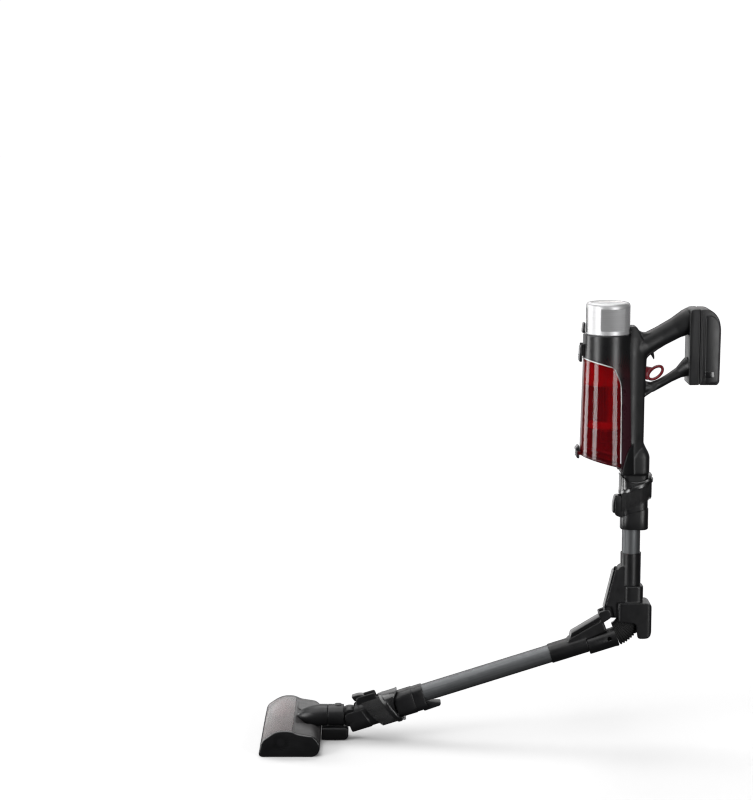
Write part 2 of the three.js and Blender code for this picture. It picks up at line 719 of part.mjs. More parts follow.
function makeBellows() {

	const section = new THREE.Shape();
	section.absarc( 0, 0, 15, 0, Math.PI * 2 );
	const settings = { steps: 8, extrudePath: new HosePath(), curveSegments: 8, bevelEnabled: false };
	return toSolid( new THREE.ExtrudeGeometry( section, settings ) );

}

const wandMouth = frameAt( upperWand, HINGE_OFFSET, UPPER_LENGTH );
add( wandMouth, 'wand_collar', makeCollar( TUBE_R + GAP, TUBE_BORE + 0.2 ), look.blackPlastic );
add( wandMouth, 'wand_button', makeButton( - 88, - 53 ), look.glossBlack );
add( upperWand, 'upper_tube', tubeAlong( 101, 184 ), look.tube );
add( upperWand, 'flex_upper_housing', makeUpperHousing(), look.blackPlastic );
add( upperWand, 'flex_knuckle', makeKnuckle(), look.blackPlastic );
add( upperWand, 'flex_lever', makeLever(), look.glossBlack );
add( upperWand, 'flex_pin', crossBar( 0, 0, 3.4, 15.5, 16 ), look.steel );
add( upperWand, 'flex_bellows', makeBellows(), look.rubber );

// Lower wand: the other half of the folding joint, tube and end fitting


function makeLowerHousing() {

	const neck = tubeAlong( - 133, - 56, 19.4, 15.5 );
	const shoulder = slab( [
		[ 29, - 92, 4 ], [ 25, - 84, 2 ], [ 10, - 20, 3 ], [ 1, - 13 ],
		[ 14, - 13 ], [ 31, - 56 ], [ 31, - 80 ]
	], - 15, 15 );
	const fork = slab( [ [ - 8, - 14, 3 ], [ - 9, 7, 7 ], [ 9, 7, 7 ], [ 15, - 14, 3 ] ], - 15, 15 );
	const ears = fork.subtract( block( - 20, 30, - 8.4, 8.4, - 13.4, 20 ) );
	const seat = bar( [ HINGE_OFFSET, 0, - 140 ], [ HINGE_OFFSET, 0, - 108 ], TUBE_R + GAP );
	const bore = bar( [ HINGE_OFFSET, 0, - 140 ], [ HINGE_OFFSET, 0, - 40 ], 15.5 );
	const joined = neck.add( shoulder ).add( ears ).subtract( seat ).subtract( bore );
	return joined.subtract( crossBar( 0, 0, 14, 8.4, 20 ) ).subtract( crossHole( 0, 0, 3.8, 16 ) );

}

function makeBarrel() {

	return pipe( [ BARREL_X, 0, - 55.5 ], [ BARREL_X, 0, 4.5 ], 19, 15.5 );

}

function makeWandEnd() {

	const fitting = post( - 19, 32, 20, 15, - 60, 0, 2 );
	const lobe = slab( [ [ 18.6, - 8 ], [ 32, - 8, 2 ], [ 31, 24, 4 ], [ 27, 26, 2 ], [ 18.6, 2 ] ], - 12, 12 );
	const spigot = pipe( [ 0, 0, - 116 ], [ 0, 0, - 50 ], 16, 14 );
	const seat = bar( [ 0, 0, - 24 ], [ 0, 0, 10 ], TUBE_R + GAP );
	const bore = bar( [ 0, 0, - 120 ], [ 0, 0, 10 ], 14 );
	return fitting.add( spigot ).subtract( seat ).subtract( bore ).add( lobe );

}

const endMouth = frameAt( lowerWand, HINGE_OFFSET, - 399 );
const brushFrame = frameAt( lowerWand, HINGE_OFFSET, - BRUSH_BELOW );
add( lowerWand, 'flex_barrel', makeBarrel(), look.blackPlastic );
add( lowerWand, 'flex_lower_housing', makeLowerHousing(), look.blackPlastic );
const coverSide = [ [ 16, - 79, 2 ], [ 0.5, - 14.5, 3 ], [ 8.5, - 20 ], [ 24, - 84, 1 ] ];
add( lowerWand, 'flex_cover', slab( coverSide, - 13, 13 ), look.glossBlack );
add( lowerWand, 'lower_tube', tubeAlong( - 422, - 109 ), look.tube );
add( endMouth, 'wand_end', makeWandEnd(), look.blackPlastic );
add( brushFrame, 'brush_sleeve_lower', makeBrushSleeve(), look.blackPlastic );
add( brushFrame, 'bristles_lower', makeBristles(), look.bristle );

// Floor head: collar on the wand, pitch hinge, steering neck and head

const COLLAR_Z = - ( LOWER_LENGTH - BRUSH_BELOW );     // pitch hinge in the brush's frame
const PITCH_STEPS = [ - 12, 10, 32, 58 ];              // degrees at which the collar is cut clear

// The space that the neck takes when it is pitched by that many degrees, in the brush's frame.
function neckRoom( degrees ) {

	const turn = BEND - THREE.MathUtils.degToRad( degrees );
	const lift = NECK_Z - PITCH_HEIGHT;
	const x = - Math.sin( turn ) * lift;
	const z = COLLAR_Z + Math.cos( turn ) * lift;
	return bar( [ x, 0, z ], [ x - Math.cos( turn ) * 60, 0, z - Math.sin( turn ) * 60 ], NECK_R + 0.8 );

}

function makeHeadCollar() {

	let shape = makeCollar( 6, 16.4 ).subtract( bar( [ 0, 0, - 130 ], [ 0, 0, - 90 ], 14 ) );
	shape = shape.subtract( ball( 0, COLLAR_Z, NECK_R + 0.8 ) );
	for ( const degrees of PITCH_STEPS ) shape = shape.subtract( neckRoom( degrees ) );
	const armSide = [
		[ - 10, COLLAR_Z - 10, 9 ], [ 10, COLLAR_Z - 10, 9 ], [ 10, COLLAR_Z + 34 ], [ - 10, COLLAR_Z + 34 ]
	];
	const arm = ( solid, side ) => solid.add( slab( armSide, side * 17 - 2.5, side * 17 + 2.5 ) );
	return bothSides( shape, arm ).subtract( crossHole( 0, COLLAR_Z, 3.4, 16 ) );

}

function makeNeck() {

	const barrel = bar( [ - 44.6, 0, NECK_Z ], [ - 13, 0, NECK_Z ], NECK_R );
	const knob = bar( [ - 24, 0, 60 ], [ - 24, 0, NECK_Z + NECK_R + 1.2 ], 8, 7 );
	const joint = ball( 0, PITCH_HEIGHT, NECK_R ).intersect( block( - 30, 30, - 14, 14, 0, 90 ) );
	const spigot = bar( [ - 62, 0, NECK_Z ], [ - 40, 0, NECK_Z ], 15 );
	const air = bar( [ - 70, 0, NECK_Z ], [ - 18, 0, NECK_Z ], 12 );
	const solid = barrel.add( knob ).add( joint ).add( spigot ).subtract( air );
	return solid.subtract( crossHole( 0, PITCH_HEIGHT, 3.4, 16 ) );

}

// Side outlines of the floor head: the full section at its ends, and the lower middle.
const headOutline = [
	[ - 178, 4, 3 ], [ - 172, 32, 6 ], [ - 143, 51.6, 14 ], [ - 117, 51.6, 6 ], [ - 104, 45, 6 ],
	[ - 70, 39.8, 7 ], [ - 57.6, 24, 8 ], [ - 66, 7, 5 ], [ - 73, 0, 3 ], [ - 173, 0, 3 ]
];
const VALLEY = [ [ - 104.5, 60 ], [ - 104.5, 44 ], [ - 80, 26, 6 ], [ - 50, 25.5 ], [ - 50, 60 ] ];
const VALLEY_HALF = 50;
const SHELL_X = - 112;            // the shell ends and the window begins
const INNER = HALF - CAP_THICKNESS - GAP;

function makeHeadShell() {

	const whole = slab( headOutline, - INNER, INNER ).intersect( block( SHELL_X, - 40, - HALF, HALF, 6.6, 60 ) );
	const roomSide = [ [ - 109, 9 ], [ - 109, 43.5 ], [ - 71, 36.5, 4 ], [ - 62, 24, 4 ], [ - 69, 9 ] ];
	const rightRoom = slab( roomSide, VALLEY_HALF + 4, INNER + 1 );
	const leftRoom = slab( roomSide, - INNER - 1, - VALLEY_HALF - 4 );
	const valley = slab( VALLEY, - VALLEY_HALF, VALLEY_HALF );
	const air = bar( [ - 120, 0, 17 ], [ - 60, 0, 17 ], 7 );
	const beltSlot = block( - 114, - 106, INNER - 6, INNER + 1, 8, 42 );
	return whole.subtract( valley ).subtract( rightRoom ).subtract( leftRoom ).subtract( beltSlot ).subtract( air );

}

function makeFairing() {

	const cone = bar( [ - 104, 0, 43.5 ], [ - 62, 0, NECK_Z ], 5, NECK_R );
	const ring = bar( [ - 62.2, 0, NECK_Z ], [ - 45, 0, NECK_Z ], NECK_R );
	const below = slab( [
		[ - 120, 0 ], [ - 120, 56 ], [ - 104.5, 44.6 ], [ - 80, 26.6, 6 ], [ - 30, 26.2 ], [ - 30, 0 ]
	], - 60, 60 );
	const spigot = bar( [ - 64, 0, NECK_Z ], [ - 40, 0, NECK_Z ], 15.5 );
	return cone.add( ring ).subtract( below ).subtract( spigot );

}

function makeHeadBase() {

	const sole = slab( [
		[ - 177, 3, 2 ], [ - 177, 6 ], [ - 68, 6 ], [ - 73, 0, 2 ], [ - 172, 0, 3 ]
	], - INNER, INNER );
	const mouth = block( ROLLER.x - 26, ROLLER.x + 24, - INNER + 1, INNER - 1, - 5, 12 );
	const bumper = slab( [ [ - 178, 4, 1 ], [ - 173, 30 ], [ - 170, 30 ], [ - 174, 4 ] ], - INNER, INNER );
	return sole.subtract( mouth ).add( bumper );

}

function makeWindow() {

	const front = block( - 180, SHELL_X - GAP, - HALF, HALF, 30.5, 60 );
	const shell = slab( headOutline, - INNER, INNER ).intersect( front );
	const room = slab( [
		[ - 176, 4 ], [ - 169, 31, 6 ], [ - 142, 49.2, 14 ], [ - 100, 49.2 ], [ - 100, 4 ]
	], - HALF, HALF );
	return shell.subtract( room );

}

function makeEndCap( side ) {

	const outer = side * HALF;
	const inner = side * ( HALF - CAP_THICKNESS );
	const cap = slab( headOutline, Math.min( outer, inner ), Math.max( outer, inner ) );
	const stub = bar( [ ROLLER.x, inner + side, ROLLER.z ], [ ROLLER.x, inner - side * 9, ROLLER.z ], 5, 5, 16 );
	return cap.add( stub );

}

function makeRoller() {

	const body = bar( [ ROLLER.x, - INNER + 2, ROLLER.z ], [ ROLLER.x, INNER - 6, ROLLER.z ], ROLLER.r );
	const pulley = bar( [ ROLLER.x, INNER - 7, ROLLER.z ], [ ROLLER.x, INNER - 0.6, ROLLER.z ], 9.6, 9.6, 24 );
	const bore = ( solid, side ) => {

		const ends = [ side * ( INNER - 12 ), side * ( INNER + 5 ) ];
		const [ from, to ] = ends.map( ( y ) => [ ROLLER.x, y, ROLLER.z ] );
		return solid.subtract( bar( from, to, 5.4, 5.4, 16 ) );

	};

	return bothSides( body.add( pulley ), bore );

}

const MOTOR_AT = { x: - 88, z: 22 };

function makeBelt() {

	const width = [ INNER - 5, INNER - 1 ];
	const loop = ( grow ) => {

		const big = bar( [ ROLLER.x, width[ 0 ], ROLLER.z ], [ ROLLER.x, width[ 1 ], ROLLER.z ], 10 + grow );
		const [ from, to ] = width.map( ( y ) => [ MOTOR_AT.x, y, MOTOR_AT.z ] );
		const small = bar( from, to, 6 + grow );
		const span = slab( [
			[ ROLLER.x, ROLLER.z + 10 + grow ], [ MOTOR_AT.x, MOTOR_AT.z + 6 + grow ],
			[ MOTOR_AT.x, MOTOR_AT.z - 6 - grow ], [ ROLLER.x, ROLLER.z - 10 - grow ]
		], ...width );
		return big.add( small ).add( span );

	};

	return loop( 1.4 ).subtract( loop( 0 ) );

}

function makeRollerMotor() {

	const can = bar( [ MOTOR_AT.x, 56, MOTOR_AT.z ], [ MOTOR_AT.x, 106, MOTOR_AT.z ], 12.5 );
	return can.add( bar( [ MOTOR_AT.x, 105, MOTOR_AT.z ], [ MOTOR_AT.x, INNER - 0.6, MOTOR_AT.z ], 5.6, 5.6, 16 ) );

}

const WHEEL = { x: - 30, r: 8 };

function makeCarriage() {

	const frame = slab( [
		[ - 56.6, 25.6 ], [ - 5, 25.6, 3 ], [ - 4, 6, 4 ], [ - 10, 1.5, 2 ], [ - 56.6, 1.5 ]
	], - 21, 21, 1.5 );
	const wheelRoom = ( solid, side ) =>
		solid.subtract( block( WHEEL.x - 9.5, WHEEL.x + 9.5, side * 12 - 5, side * 12 + 5, - 5, 18 ) );
	const tray = bar( [ - 50, 0, NECK_Z ], [ 20, 0, NECK_Z ], NECK_R + 0.5 );
	return bothSides( frame.subtract( tray ), wheelRoom );

}

const makeWheel = ( y ) => bar( [ WHEEL.x, y - 4, WHEEL.r ], [ WHEEL.x, y + 4, WHEEL.r ], WHEEL.r );

add( brushFrame, 'head_collar', makeHeadCollar(), look.blackPlastic );
add( brushFrame, 'head_button', makeButton( - 97, - 76, 4 ), look.glossBlack );
add( head, 'neck_barrel', makeNeck(), look.blackPlastic );
add( head, 'pitch_pin', crossBar( 0, PITCH_HEIGHT, 3, 19, 16 ), look.steel );
add( head, 'head_fairing', makeFairing(), look.blackPlastic );
add( head, 'head_shell', makeHeadShell(), look.greyPlastic );
add( head, 'head_base', makeHeadBase(), look.blackPlastic );
add( head, 'head_window', makeWindow(), look.smoked );
add( head, 'end_cap_left', makeEndCap( - 1 ), look.glossBlack );
add( head, 'end_cap_right', makeEndCap( 1 ), look.glossBlack );
add( head, 'roller_brush', makeRoller(), look.roller );
add( head, 'roller_motor', makeRollerMotor(), look.steel );
add( head, 'drive_belt', makeBelt(), look.rubber );
add( head, 'wheel_carriage', makeCarriage(), look.blackPlastic );
add( head, 'wheel_left', makeWheel( - 12 ), look.rubber );
add( head, 'wheel_right', makeWheel( 12 ), look.rubber );

export default vacuum;
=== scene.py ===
"""Looks for the cordless stick vacuum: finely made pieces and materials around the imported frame.

Every shape is drawn in millimetres in the same local frames as the CAD part, then placed in metres.
"""
import json
import math
import random

import bmesh
import bpy
from mathutils import Matrix, Vector


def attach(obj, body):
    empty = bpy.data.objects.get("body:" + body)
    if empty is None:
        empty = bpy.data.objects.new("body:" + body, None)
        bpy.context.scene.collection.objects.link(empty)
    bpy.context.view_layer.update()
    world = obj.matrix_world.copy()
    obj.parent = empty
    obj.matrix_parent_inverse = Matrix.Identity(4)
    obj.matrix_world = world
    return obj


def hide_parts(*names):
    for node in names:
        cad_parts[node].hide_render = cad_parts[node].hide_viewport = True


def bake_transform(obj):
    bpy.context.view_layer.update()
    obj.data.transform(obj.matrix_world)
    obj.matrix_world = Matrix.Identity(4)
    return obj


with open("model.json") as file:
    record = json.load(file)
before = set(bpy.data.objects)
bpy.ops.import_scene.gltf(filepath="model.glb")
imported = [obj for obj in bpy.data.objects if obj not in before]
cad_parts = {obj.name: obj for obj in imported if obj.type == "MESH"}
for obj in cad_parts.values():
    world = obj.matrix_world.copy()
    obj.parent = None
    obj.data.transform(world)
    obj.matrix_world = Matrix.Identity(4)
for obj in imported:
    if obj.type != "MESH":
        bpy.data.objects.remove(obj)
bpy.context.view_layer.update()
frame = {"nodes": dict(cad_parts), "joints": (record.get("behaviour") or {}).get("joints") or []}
random.seed(7)

MM = 0.001
scene = bpy.context.scene
joints = {joint["name"]: joint for joint in frame["joints"]}

# Driving dimensions, in millimetres; places shared with the CAD part have the same values there

HINGE_OFFSET = 46
UPPER_LENGTH = 292.5
BRUSH_BELOW = 438
END_BELOW = 399
PIVOT_BELOW_BRUSH = 116
TUBE_R = 17.5
DRUM_X = -52.5
DRUM_R = 48
RIM_SLOPE = 0.262
RIM_Z = 196
LID_Z = 2
LID_EDGE = -25
DOCK_X = 104
TRIGGER_PIVOT = (6, 197)
HOSE_RADIUS = 52
NECK_Z = 47.5
NECK_R = 21.5
PITCH_Z = 46
HALF = 125
CAP_THICKNESS = 8
INNER = HALF - CAP_THICKNESS - 0.4
ROLLER_X = -137
ROLLER_Z = 25
ROLLER_R = 22
BRUSH_SLOPE = 0.373
CAP_R = DRUM_R - 5.3
CAP_SIDE_FOOT = 270
CAP_SIDE_TOP = 324
CAP_HOLE_COLUMNS = 110
CAP_HOLE_PITCH = 2.4
CAP_PATCH_TURNS = [math.radians(a) for a in (10, 130, 250)]
CAP_PATCH_REACH = math.radians(35)
HEAD_SIDE = [
    (-178, 4, 4), (-172, 32, 8), (-143, 51.6, 18), (-117, 51.6, 8), (-104, 45, 8),
    (-70, 39.8, 9), (-57.6, 24, 11), (-60, 8, 8), (-71, 0, 6), (-173, 0, 4)]
VALLEY_HALF = 50
WINDOW_X = -112

# Studio, in metres and degrees

CAMERA_AT = (-0.2196, -4.083, 1.2841)
CAMERA_DOWN = 8.3
CAMERA_LENS = 94.23
ROOM_GLOW = 0.035
BACKDROP_WHITE = 1.05
LIT_POINT = Vector((0.12, 0, 0.6))

# Local frames, from the joints of the frame


def local_frame(point, turn=0.0, x=0.0, z=0.0):
    """Millimetres in a frame turned about +Y, whose origin is (x, z) from a point."""
    shifted = Matrix.Translation((x * MM, 0, z * MM))
    return Matrix.Translation(point) @ Matrix.Rotation(turn, 4, "Y") @ shifted @ Matrix.Scale(MM, 4)


fold_point = Vector(joints["flex_fold"]["pos_m"])
pitch_point = Vector(joints["head_pitch"]["pos_m"])
trigger_point = Vector(joints["trigger_pull"]["pos_m"])
down_wand = Vector(joints["head_pull"]["axis"])
BEND = math.atan2(-down_wand.x, -down_wand.z)

HANDHELD = local_frame(trigger_point, 0, -TRIGGER_PIVOT[0], -TRIGGER_PIVOT[1])
UPPER = local_frame(fold_point)
UPPER_MOUTH = local_frame(fold_point, 0, HINGE_OFFSET, UPPER_LENGTH)
LOWER = local_frame(fold_point, BEND)
LOWER_END = local_frame(fold_point, BEND, HINGE_OFFSET, -END_BELOW)
LOWER_BRUSH = local_frame(fold_point, BEND, HINGE_OFFSET, -BRUSH_BELOW)
HEAD = local_frame(pitch_point, 0, 0, -PITCH_Z)

# Mesh tools

SHARP_ANGLE = math.radians(35)
SOFT_ANGLE = math.radians(50)
SIDES = ((-1, "left"), (1, "right"))


def turns(count):
    """Angles spaced evenly round a full turn."""
    return [math.tau * i / count for i in range(count)]


def oval_points(radius_x, radius_y, x, count):
    return [(x + radius_x * math.cos(a), radius_y * math.sin(a)) for a in turns(count)]


def shown(shape):
    """A new object that takes over a bmesh."""
    mesh = bpy.data.meshes.new("shape")
    shape.to_mesh(mesh)
    shape.free()
    obj = bpy.data.objects.new("shape", mesh)
    scene.collection.objects.link(obj)
    return obj


def new_object(verts, faces):
    """An object from points and faces, with its normals turned outwards."""
    mesh = bpy.data.meshes.new("draft")
    mesh.from_pydata([tuple(v) for v in verts], [], faces)
    shape = bmesh.new()
    shape.from_mesh(mesh)
    bpy.data.meshes.remove(mesh)
    bmesh.ops.recalc_face_normals(shape, faces=shape.faces)
    return shown(shape)


def rounded(corners, steps=6):
    """A closed outline through corners (u, v, cut), each rounded back by its cut."""
    points = []
    for i, corner in enumerate(corners):
        here = Vector(corner[:2])
        cut = corner[2] if len(corner) > 2 else 0
        if cut == 0:
            points.append(here)
            continue
        ends = []
        for other in (corners[i - 1], corners[(i + 1) % len(corners)]):
            away = Vector(other[:2]) - here
            ends.append(here + away.normalized() * min(cut, away.length * 0.49))
        for step in range(steps + 1):
            t = step / steps
            points.append(ends[0] * (1 - t) ** 2 + here * 2 * t * (1 - t) + ends[1] * t * t)
    return points


def skin(rings, closed=False):
    """A closed surface over rings of points, capped at both ends unless it closes on itself."""
    count = len(rings[0])
    faces = []
    for row in range(len(rings) if closed else len(rings) - 1):
        a = row * count
        b = (row + 1) % len(rings) * count
        for i in range(count):
            j = (i + 1) % count
            faces.append((a + i, a + j, b + j, b + i))
    if not closed:
        faces.append(tuple(reversed(range(count))))
        faces.append(tuple(range(len(rings) * count - count, len(rings) * count)))
    return new_object([p for ring in rings for p in ring], faces)


def lathe(profile, x=0.0, closed=False, segments=96):
    """A solid of revolution about a vertical axis at x; the profile is (radius, z) points."""
    return skin([[(*p, z) for p in oval_points(r, r, x, segments)] for r, z in profile], closed)


def prism(outline, y0, y1):
    """An X-Z outline given thickness along Y."""
    return skin([[(x, y, z) for x, z in outline] for y in sorted((y0, y1))])


def tower(outline, levels):
    """An X-Y outline carried up through (z, how wide) levels."""
    return skin([[(x, y * wide, z) for x, y in outline] for z, wide in levels])


def slab(corners, y0, y1, width=0.0, steps=6):
    """A prism through rounded corners, with its edges eased by width."""
    obj = prism(rounded(corners, steps), y0, y1)
    return eased(obj, width) if width else obj


def box(x0, x1, y0, y1, z0, z1, width=0.0):
    """A block with its edges eased by width."""
    return slab([(x0, z0), (x1, z0), (x1, z1), (x0, z1)], y0, y1, width)


def column(x0, x1, half_y, cut, profile, steps=8):
    """A rounded rectangle in X-Y carried up a profile of (inset, z) points."""
    rings = []
    for inset, z in profile:
        low, high, half = x0 + inset, x1 - inset, half_y - inset
        corner = max(cut - inset, 0.5)
        corners = [(low, -half, corner), (high, -half, corner), (high, half, corner), (low, half, corner)]
        rings.append([(x, y, z(x) if callable(z) else z) for x, y in rounded(corners, steps)])
    return skin(rings)


def rounded_ends(z0, z1, ease):
    """A column's profile whose two ends are rounded by ease."""
    return [(ease, z0), (ease * 0.3, z0 + ease * 0.3), (0, z0 + ease), (0, z1 - ease),
            (ease * 0.3, z1 - ease * 0.3), (ease, z1)]


def bar(start, end, r0, r1=None, segments=48):
    """A round bar between two points, tapering from r0 to r1."""
    start, end = Vector(start), Vector(end)
    turn = (end - start).to_track_quat("Z", "X").to_matrix()
    rings = []
    for centre, r in ((start, r0), (end, r0 if r1 is None else r1)):
        rings.append([centre + turn @ Vector((*p, 0)) for p in oval_points(r, r, 0, segments)])
    return skin(rings)


def tube_along(points, radii, sides=16, flatten=1.0, closed=False):
    """A tube through points; radii gives one radius for each, and flatten scales it sideways."""
    points = [Vector(p) for p in points]
    count = len(points)
    rings = []
    side = Vector((0, 1, 0))
    for i, point in enumerate(points):
        before = points[i - 1] if i or closed else point
        after = points[(i + 1) % count] if i + 1 < count or closed else point
        along = (after - before).normalized()
        side = (side - along * side.dot(along)).normalized()
        up = along.cross(side)
        radius = radii[i] if isinstance(radii, (list, tuple)) else radii
        across, upward = side * radius * flatten, up * radius
        rings.append([point + upward * math.cos(a) + across * math.sin(a) for a in turns(sides)])
    return skin(rings, closed)


def applied(obj):
    """Puts what the modifiers make into the mesh itself."""
    graph = bpy.context.evaluated_depsgraph_get()
    mesh = bpy.data.meshes.new_from_object(obj.evaluated_get(graph))
    old = obj.data
    obj.modifiers.clear()
    obj.data = mesh
    bpy.data.meshes.remove(old)
    return obj


def combine(obj, operation, *tools):
    """The object after a boolean step with each tool, which is used up."""
    for tool in tools:
        step = obj.modifiers.new("step", "BOOLEAN")
        step.operation = operation
        step.object = tool
        step.solver = "EXACT"
        applied(obj)
        bpy.data.objects.remove(tool)
    return obj


def cut(obj, *tools):
    return combine(obj, "DIFFERENCE", *tools)


def common(obj, *tools):
    return combine(obj, "INTERSECT", *tools)


def joined(*objects):
    """One object that holds all the meshes, still as separate shells."""
    whole = bmesh.new()
    for obj in objects:
        whole.from_mesh(obj.data)
        bpy.data.objects.remove(obj)
    return shown(whole)


def eased(obj, width, segments=3):
    """Rounds the sharp edges."""
    step = obj.modifiers.new("step", "BEVEL")
    step.width = width
    step.segments = segments
    step.limit_method = "ANGLE"
    step.angle_limit = SHARP_ANGLE
    return applied(obj)


def melted(voxel, passes, *objects):
    """Overlapping shapes run into one moulded shape with blended edges."""
    obj = joined(*objects)
    remesh = obj.modifiers.new("remesh", "REMESH")
    remesh.mode = "VOXEL"
    remesh.voxel_size = voxel
    smooth = obj.modifiers.new("smooth", "SMOOTH")
    smooth.factor = 0.5
    smooth.iterations = passes
    return applied(obj)


def both_sides(make):
    """A shape made for the side -Y and the same for the side +Y."""
    return [make(-1), make(1)]


def place(obj, name, at, body, material, replaced, slot="black_plastic", sharp=SHARP_ANGLE):
    """Names a finished shape, puts it in the shared frame and rides it on its body."""
    obj.name = name
    obj.data.name = name
    obj.data.transform(at)
    obj.data.materials.clear()
    for each in material if isinstance(material, list) else [material]:
        obj.data.materials.append(each)
    obj.data.shade_smooth()
    obj.data.set_sharp_from_angle(angle=sharp)
    obj.data.update()
    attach(obj, body)
    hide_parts(replaced)
    return obj


# Material tools


class Paint:
    """A material's node tree, built one node at a time."""

    def __init__(self, name, rough=0.5, metal=0.0):
        self.material = bpy.data.materials.new(name)
        self.material.use_nodes = True
        self.tree = self.material.node_tree
        self.surface = self.tree.nodes["Principled BSDF"]
        self.set(Base_Color=(0.5, 0.5, 0.5), Roughness=rough, Metallic=metal)
        self.place = self.tree.nodes.new("ShaderNodeTexCoord").outputs["Object"]

    def feed(self, socket, value):
        """Links an output into a socket, or sets the socket to a number, a list or a colour."""
        if hasattr(value, "links"):
            self.tree.links.new(value, socket)
        else:
            socket.default_value = (*value, 1) if isinstance(value, tuple) else value

    def node(self, kind, **values):
        """A new node with the inputs that are named."""
        node = self.tree.nodes.new("ShaderNode" + kind)
        for name, value in values.items():
            self.feed(node.inputs[name.replace("_", " ")], value)
        return node

    def set(self, **values):
        """Feeds the inputs of the surface itself."""
        for name, value in values.items():
            self.feed(self.surface.inputs[name.replace("_", " ")], value)

    def mapped(self, scale, turn=0.0):
        stretch = [1 / each for each in scale]
        node = self.node("Mapping", Scale=stretch, Rotation=[0, turn, 0], Vector=self.place)
        node.vector_type = "TEXTURE"
        return node.outputs["Vector"]

    def noise(self, scale, detail=3.0, vector=None):
        node = self.node("TexNoise", Scale=scale, Detail=detail, Roughness=0.55, Vector=vector or self.place)
        return node.outputs["Fac"]

    def ramp(self, fac, low, high, at=(0.35, 0.65)):
        node = self.node("ValToRGB", Fac=fac)
        for element, color, position in zip(node.color_ramp.elements, (low, high), at):
            element.position = position
            element.color = (*color, 1)
        return node.outputs["Color"]

    def range(self, fac, low, high, source=(0.3, 0.7)):
        node = self.node("MapRange", Value=fac, To_Min=low, To_Max=high)
        node.inputs["From Min"].default_value, node.inputs["From Max"].default_value = source
        return node.outputs["Result"]

    def math(self, operation, first, second=0.0):
        node = self.node("Math")
        node.operation = operation
        self.feed(node.inputs[0], first)
        self.feed(node.inputs[1], second)
        return node.outputs["Value"]

    def times(self, first, second):
        return self.math("MULTIPLY", first, second)

    def axes(self):
        node = self.node("SeparateXYZ", Vector=self.place)
        return node.outputs["X"], node.outputs["Y"], node.outputs["Z"]

    def mix(self, fac, first, second):
        node = self.node("Mix")
        node.data_type = "RGBA"
        for place, value in ((0, fac), (6, first), (7, second)):
            self.feed(node.inputs[place], value)
        return node.outputs[2]

    def tones(self, fac, low, high, at=(0.35, 0.65)):
        """Colours the surface between two tones."""
        self.set(Base_Color=self.ramp(fac, low, high, at))

    def roughen(self, fac, low, high):
        """Varies the roughness between two values."""
        self.set(Roughness=self.range(fac, low, high))

    def bump(self, height, distance, strength=1.0):
        node = self.node("Bump", Height=height, Distance=distance, Strength=strength)
        self.set(Normal=node.outputs["Normal"])


def moulded_plastic(name, color, rough, grain=1.0, spread=0.25, shine=0.32):
    """Moulded plastic: spark-eroded grain, faint flow marks, and uneven shine from handling."""
    paint = Paint(name, rough)
    low = tuple(c * (1 - spread) for c in color)
    high = tuple(c * (1 + spread) for c in color)
    paint.tones(paint.noise(28, 4), low, high)
    paint.roughen(paint.noise(60, 5), rough * 0.85, min(rough * 1.2, 1))
    paint.bump(paint.noise(1900, 2), 0.00005 * grain, 0.35)
    paint.set(Specular_IOR_Level=shine)
    return paint


def satin_black():
    return moulded_plastic("satin_black", (0.0065, 0.0065, 0.007), 0.36).material


def grip_black():
    return moulded_plastic("grip_black", (0.0060, 0.0061, 0.0065), 0.42, 1.6).material


def sleeve_black():
    return moulded_plastic("sleeve_black", (0.0075, 0.0075, 0.008), 0.27, 0.6, 0.25, 0.75).material


def gloss_black():
    return moulded_plastic("gloss_black", (0.007, 0.007, 0.0075), 0.16, 0.25, 0.25, 0.6).material


def drum_black():
    """Satin black whose cradle and rim corner carry a deep plum tint and fine spreading lines."""
    paint = moulded_plastic("drum_black", (0.0065, 0.0065, 0.007), 0.3)
    base = paint.ramp(paint.noise(28, 4), (0.0055, 0.0055, 0.006), (0.0085, 0.0085, 0.009))
    x, _, z = paint.axes()
    origin = HANDHELD.translation
    right = paint.range(x, 0, 1, (origin.x - 0.030, origin.x - 0.024))
    low = paint.range(z, 1, 0, (origin.z + 0.150, origin.z + 0.215))
    plum = paint.mix(paint.times(right, low), base, (0.030, 0.0075, 0.012))
    across = paint.math("SUBTRACT", x, origin.x - 0.036)
    up = paint.math("SUBTRACT", z, origin.z + 0.176)
    waves = paint.math("SINE", paint.times(paint.math("ARCTAN2", up, across), 58.0))
    lines = paint.range(waves, 0, 1, (0.55, 0.95))
    squares = paint.math("ADD", paint.times(across, across), paint.times(up, up))
    distance = paint.math("SQRT", squares)
    near = paint.range(distance, 1, 0, (0.026, 0.060))
    far = paint.range(distance, 0, 1, (0.010, 0.022))
    above = paint.range(up, 0, 1, (0.004, 0.012))
    mask = paint.times(paint.times(lines, near), paint.times(far, above))
    paint.set(Base_Color=paint.mix(mask, plum, (0.065, 0.008, 0.010)))
    return paint.material


def brushed_silver(name="brushed_silver", color=(0.44, 0.44, 0.445), metal=0.55):
    """Silver finish with fine turning lines round the axis."""
    paint = Paint(name, 0.38, metal)
    lines = paint.noise(900, 2, paint.mapped((0.02, 0.02, 2.2)))
    paint.tones(lines, tuple(c * 0.93 for c in color), tuple(min(c * 1.06, 1) for c in color))
    paint.roughen(paint.noise(180, 4), 0.38, 0.48)
    paint.bump(lines, 0.00002, 0.3)
    paint.set(Anisotropic=0.3)
    return paint.material


# Dark grey painted on the floors and walls of the cap's shallow hole recesses as painted shade, for the dark
# inside that shows through real holes.
def perforation_shade():
    return moulded_plastic("perforation_shade", (0.06, 0.06, 0.062), 0.5).material


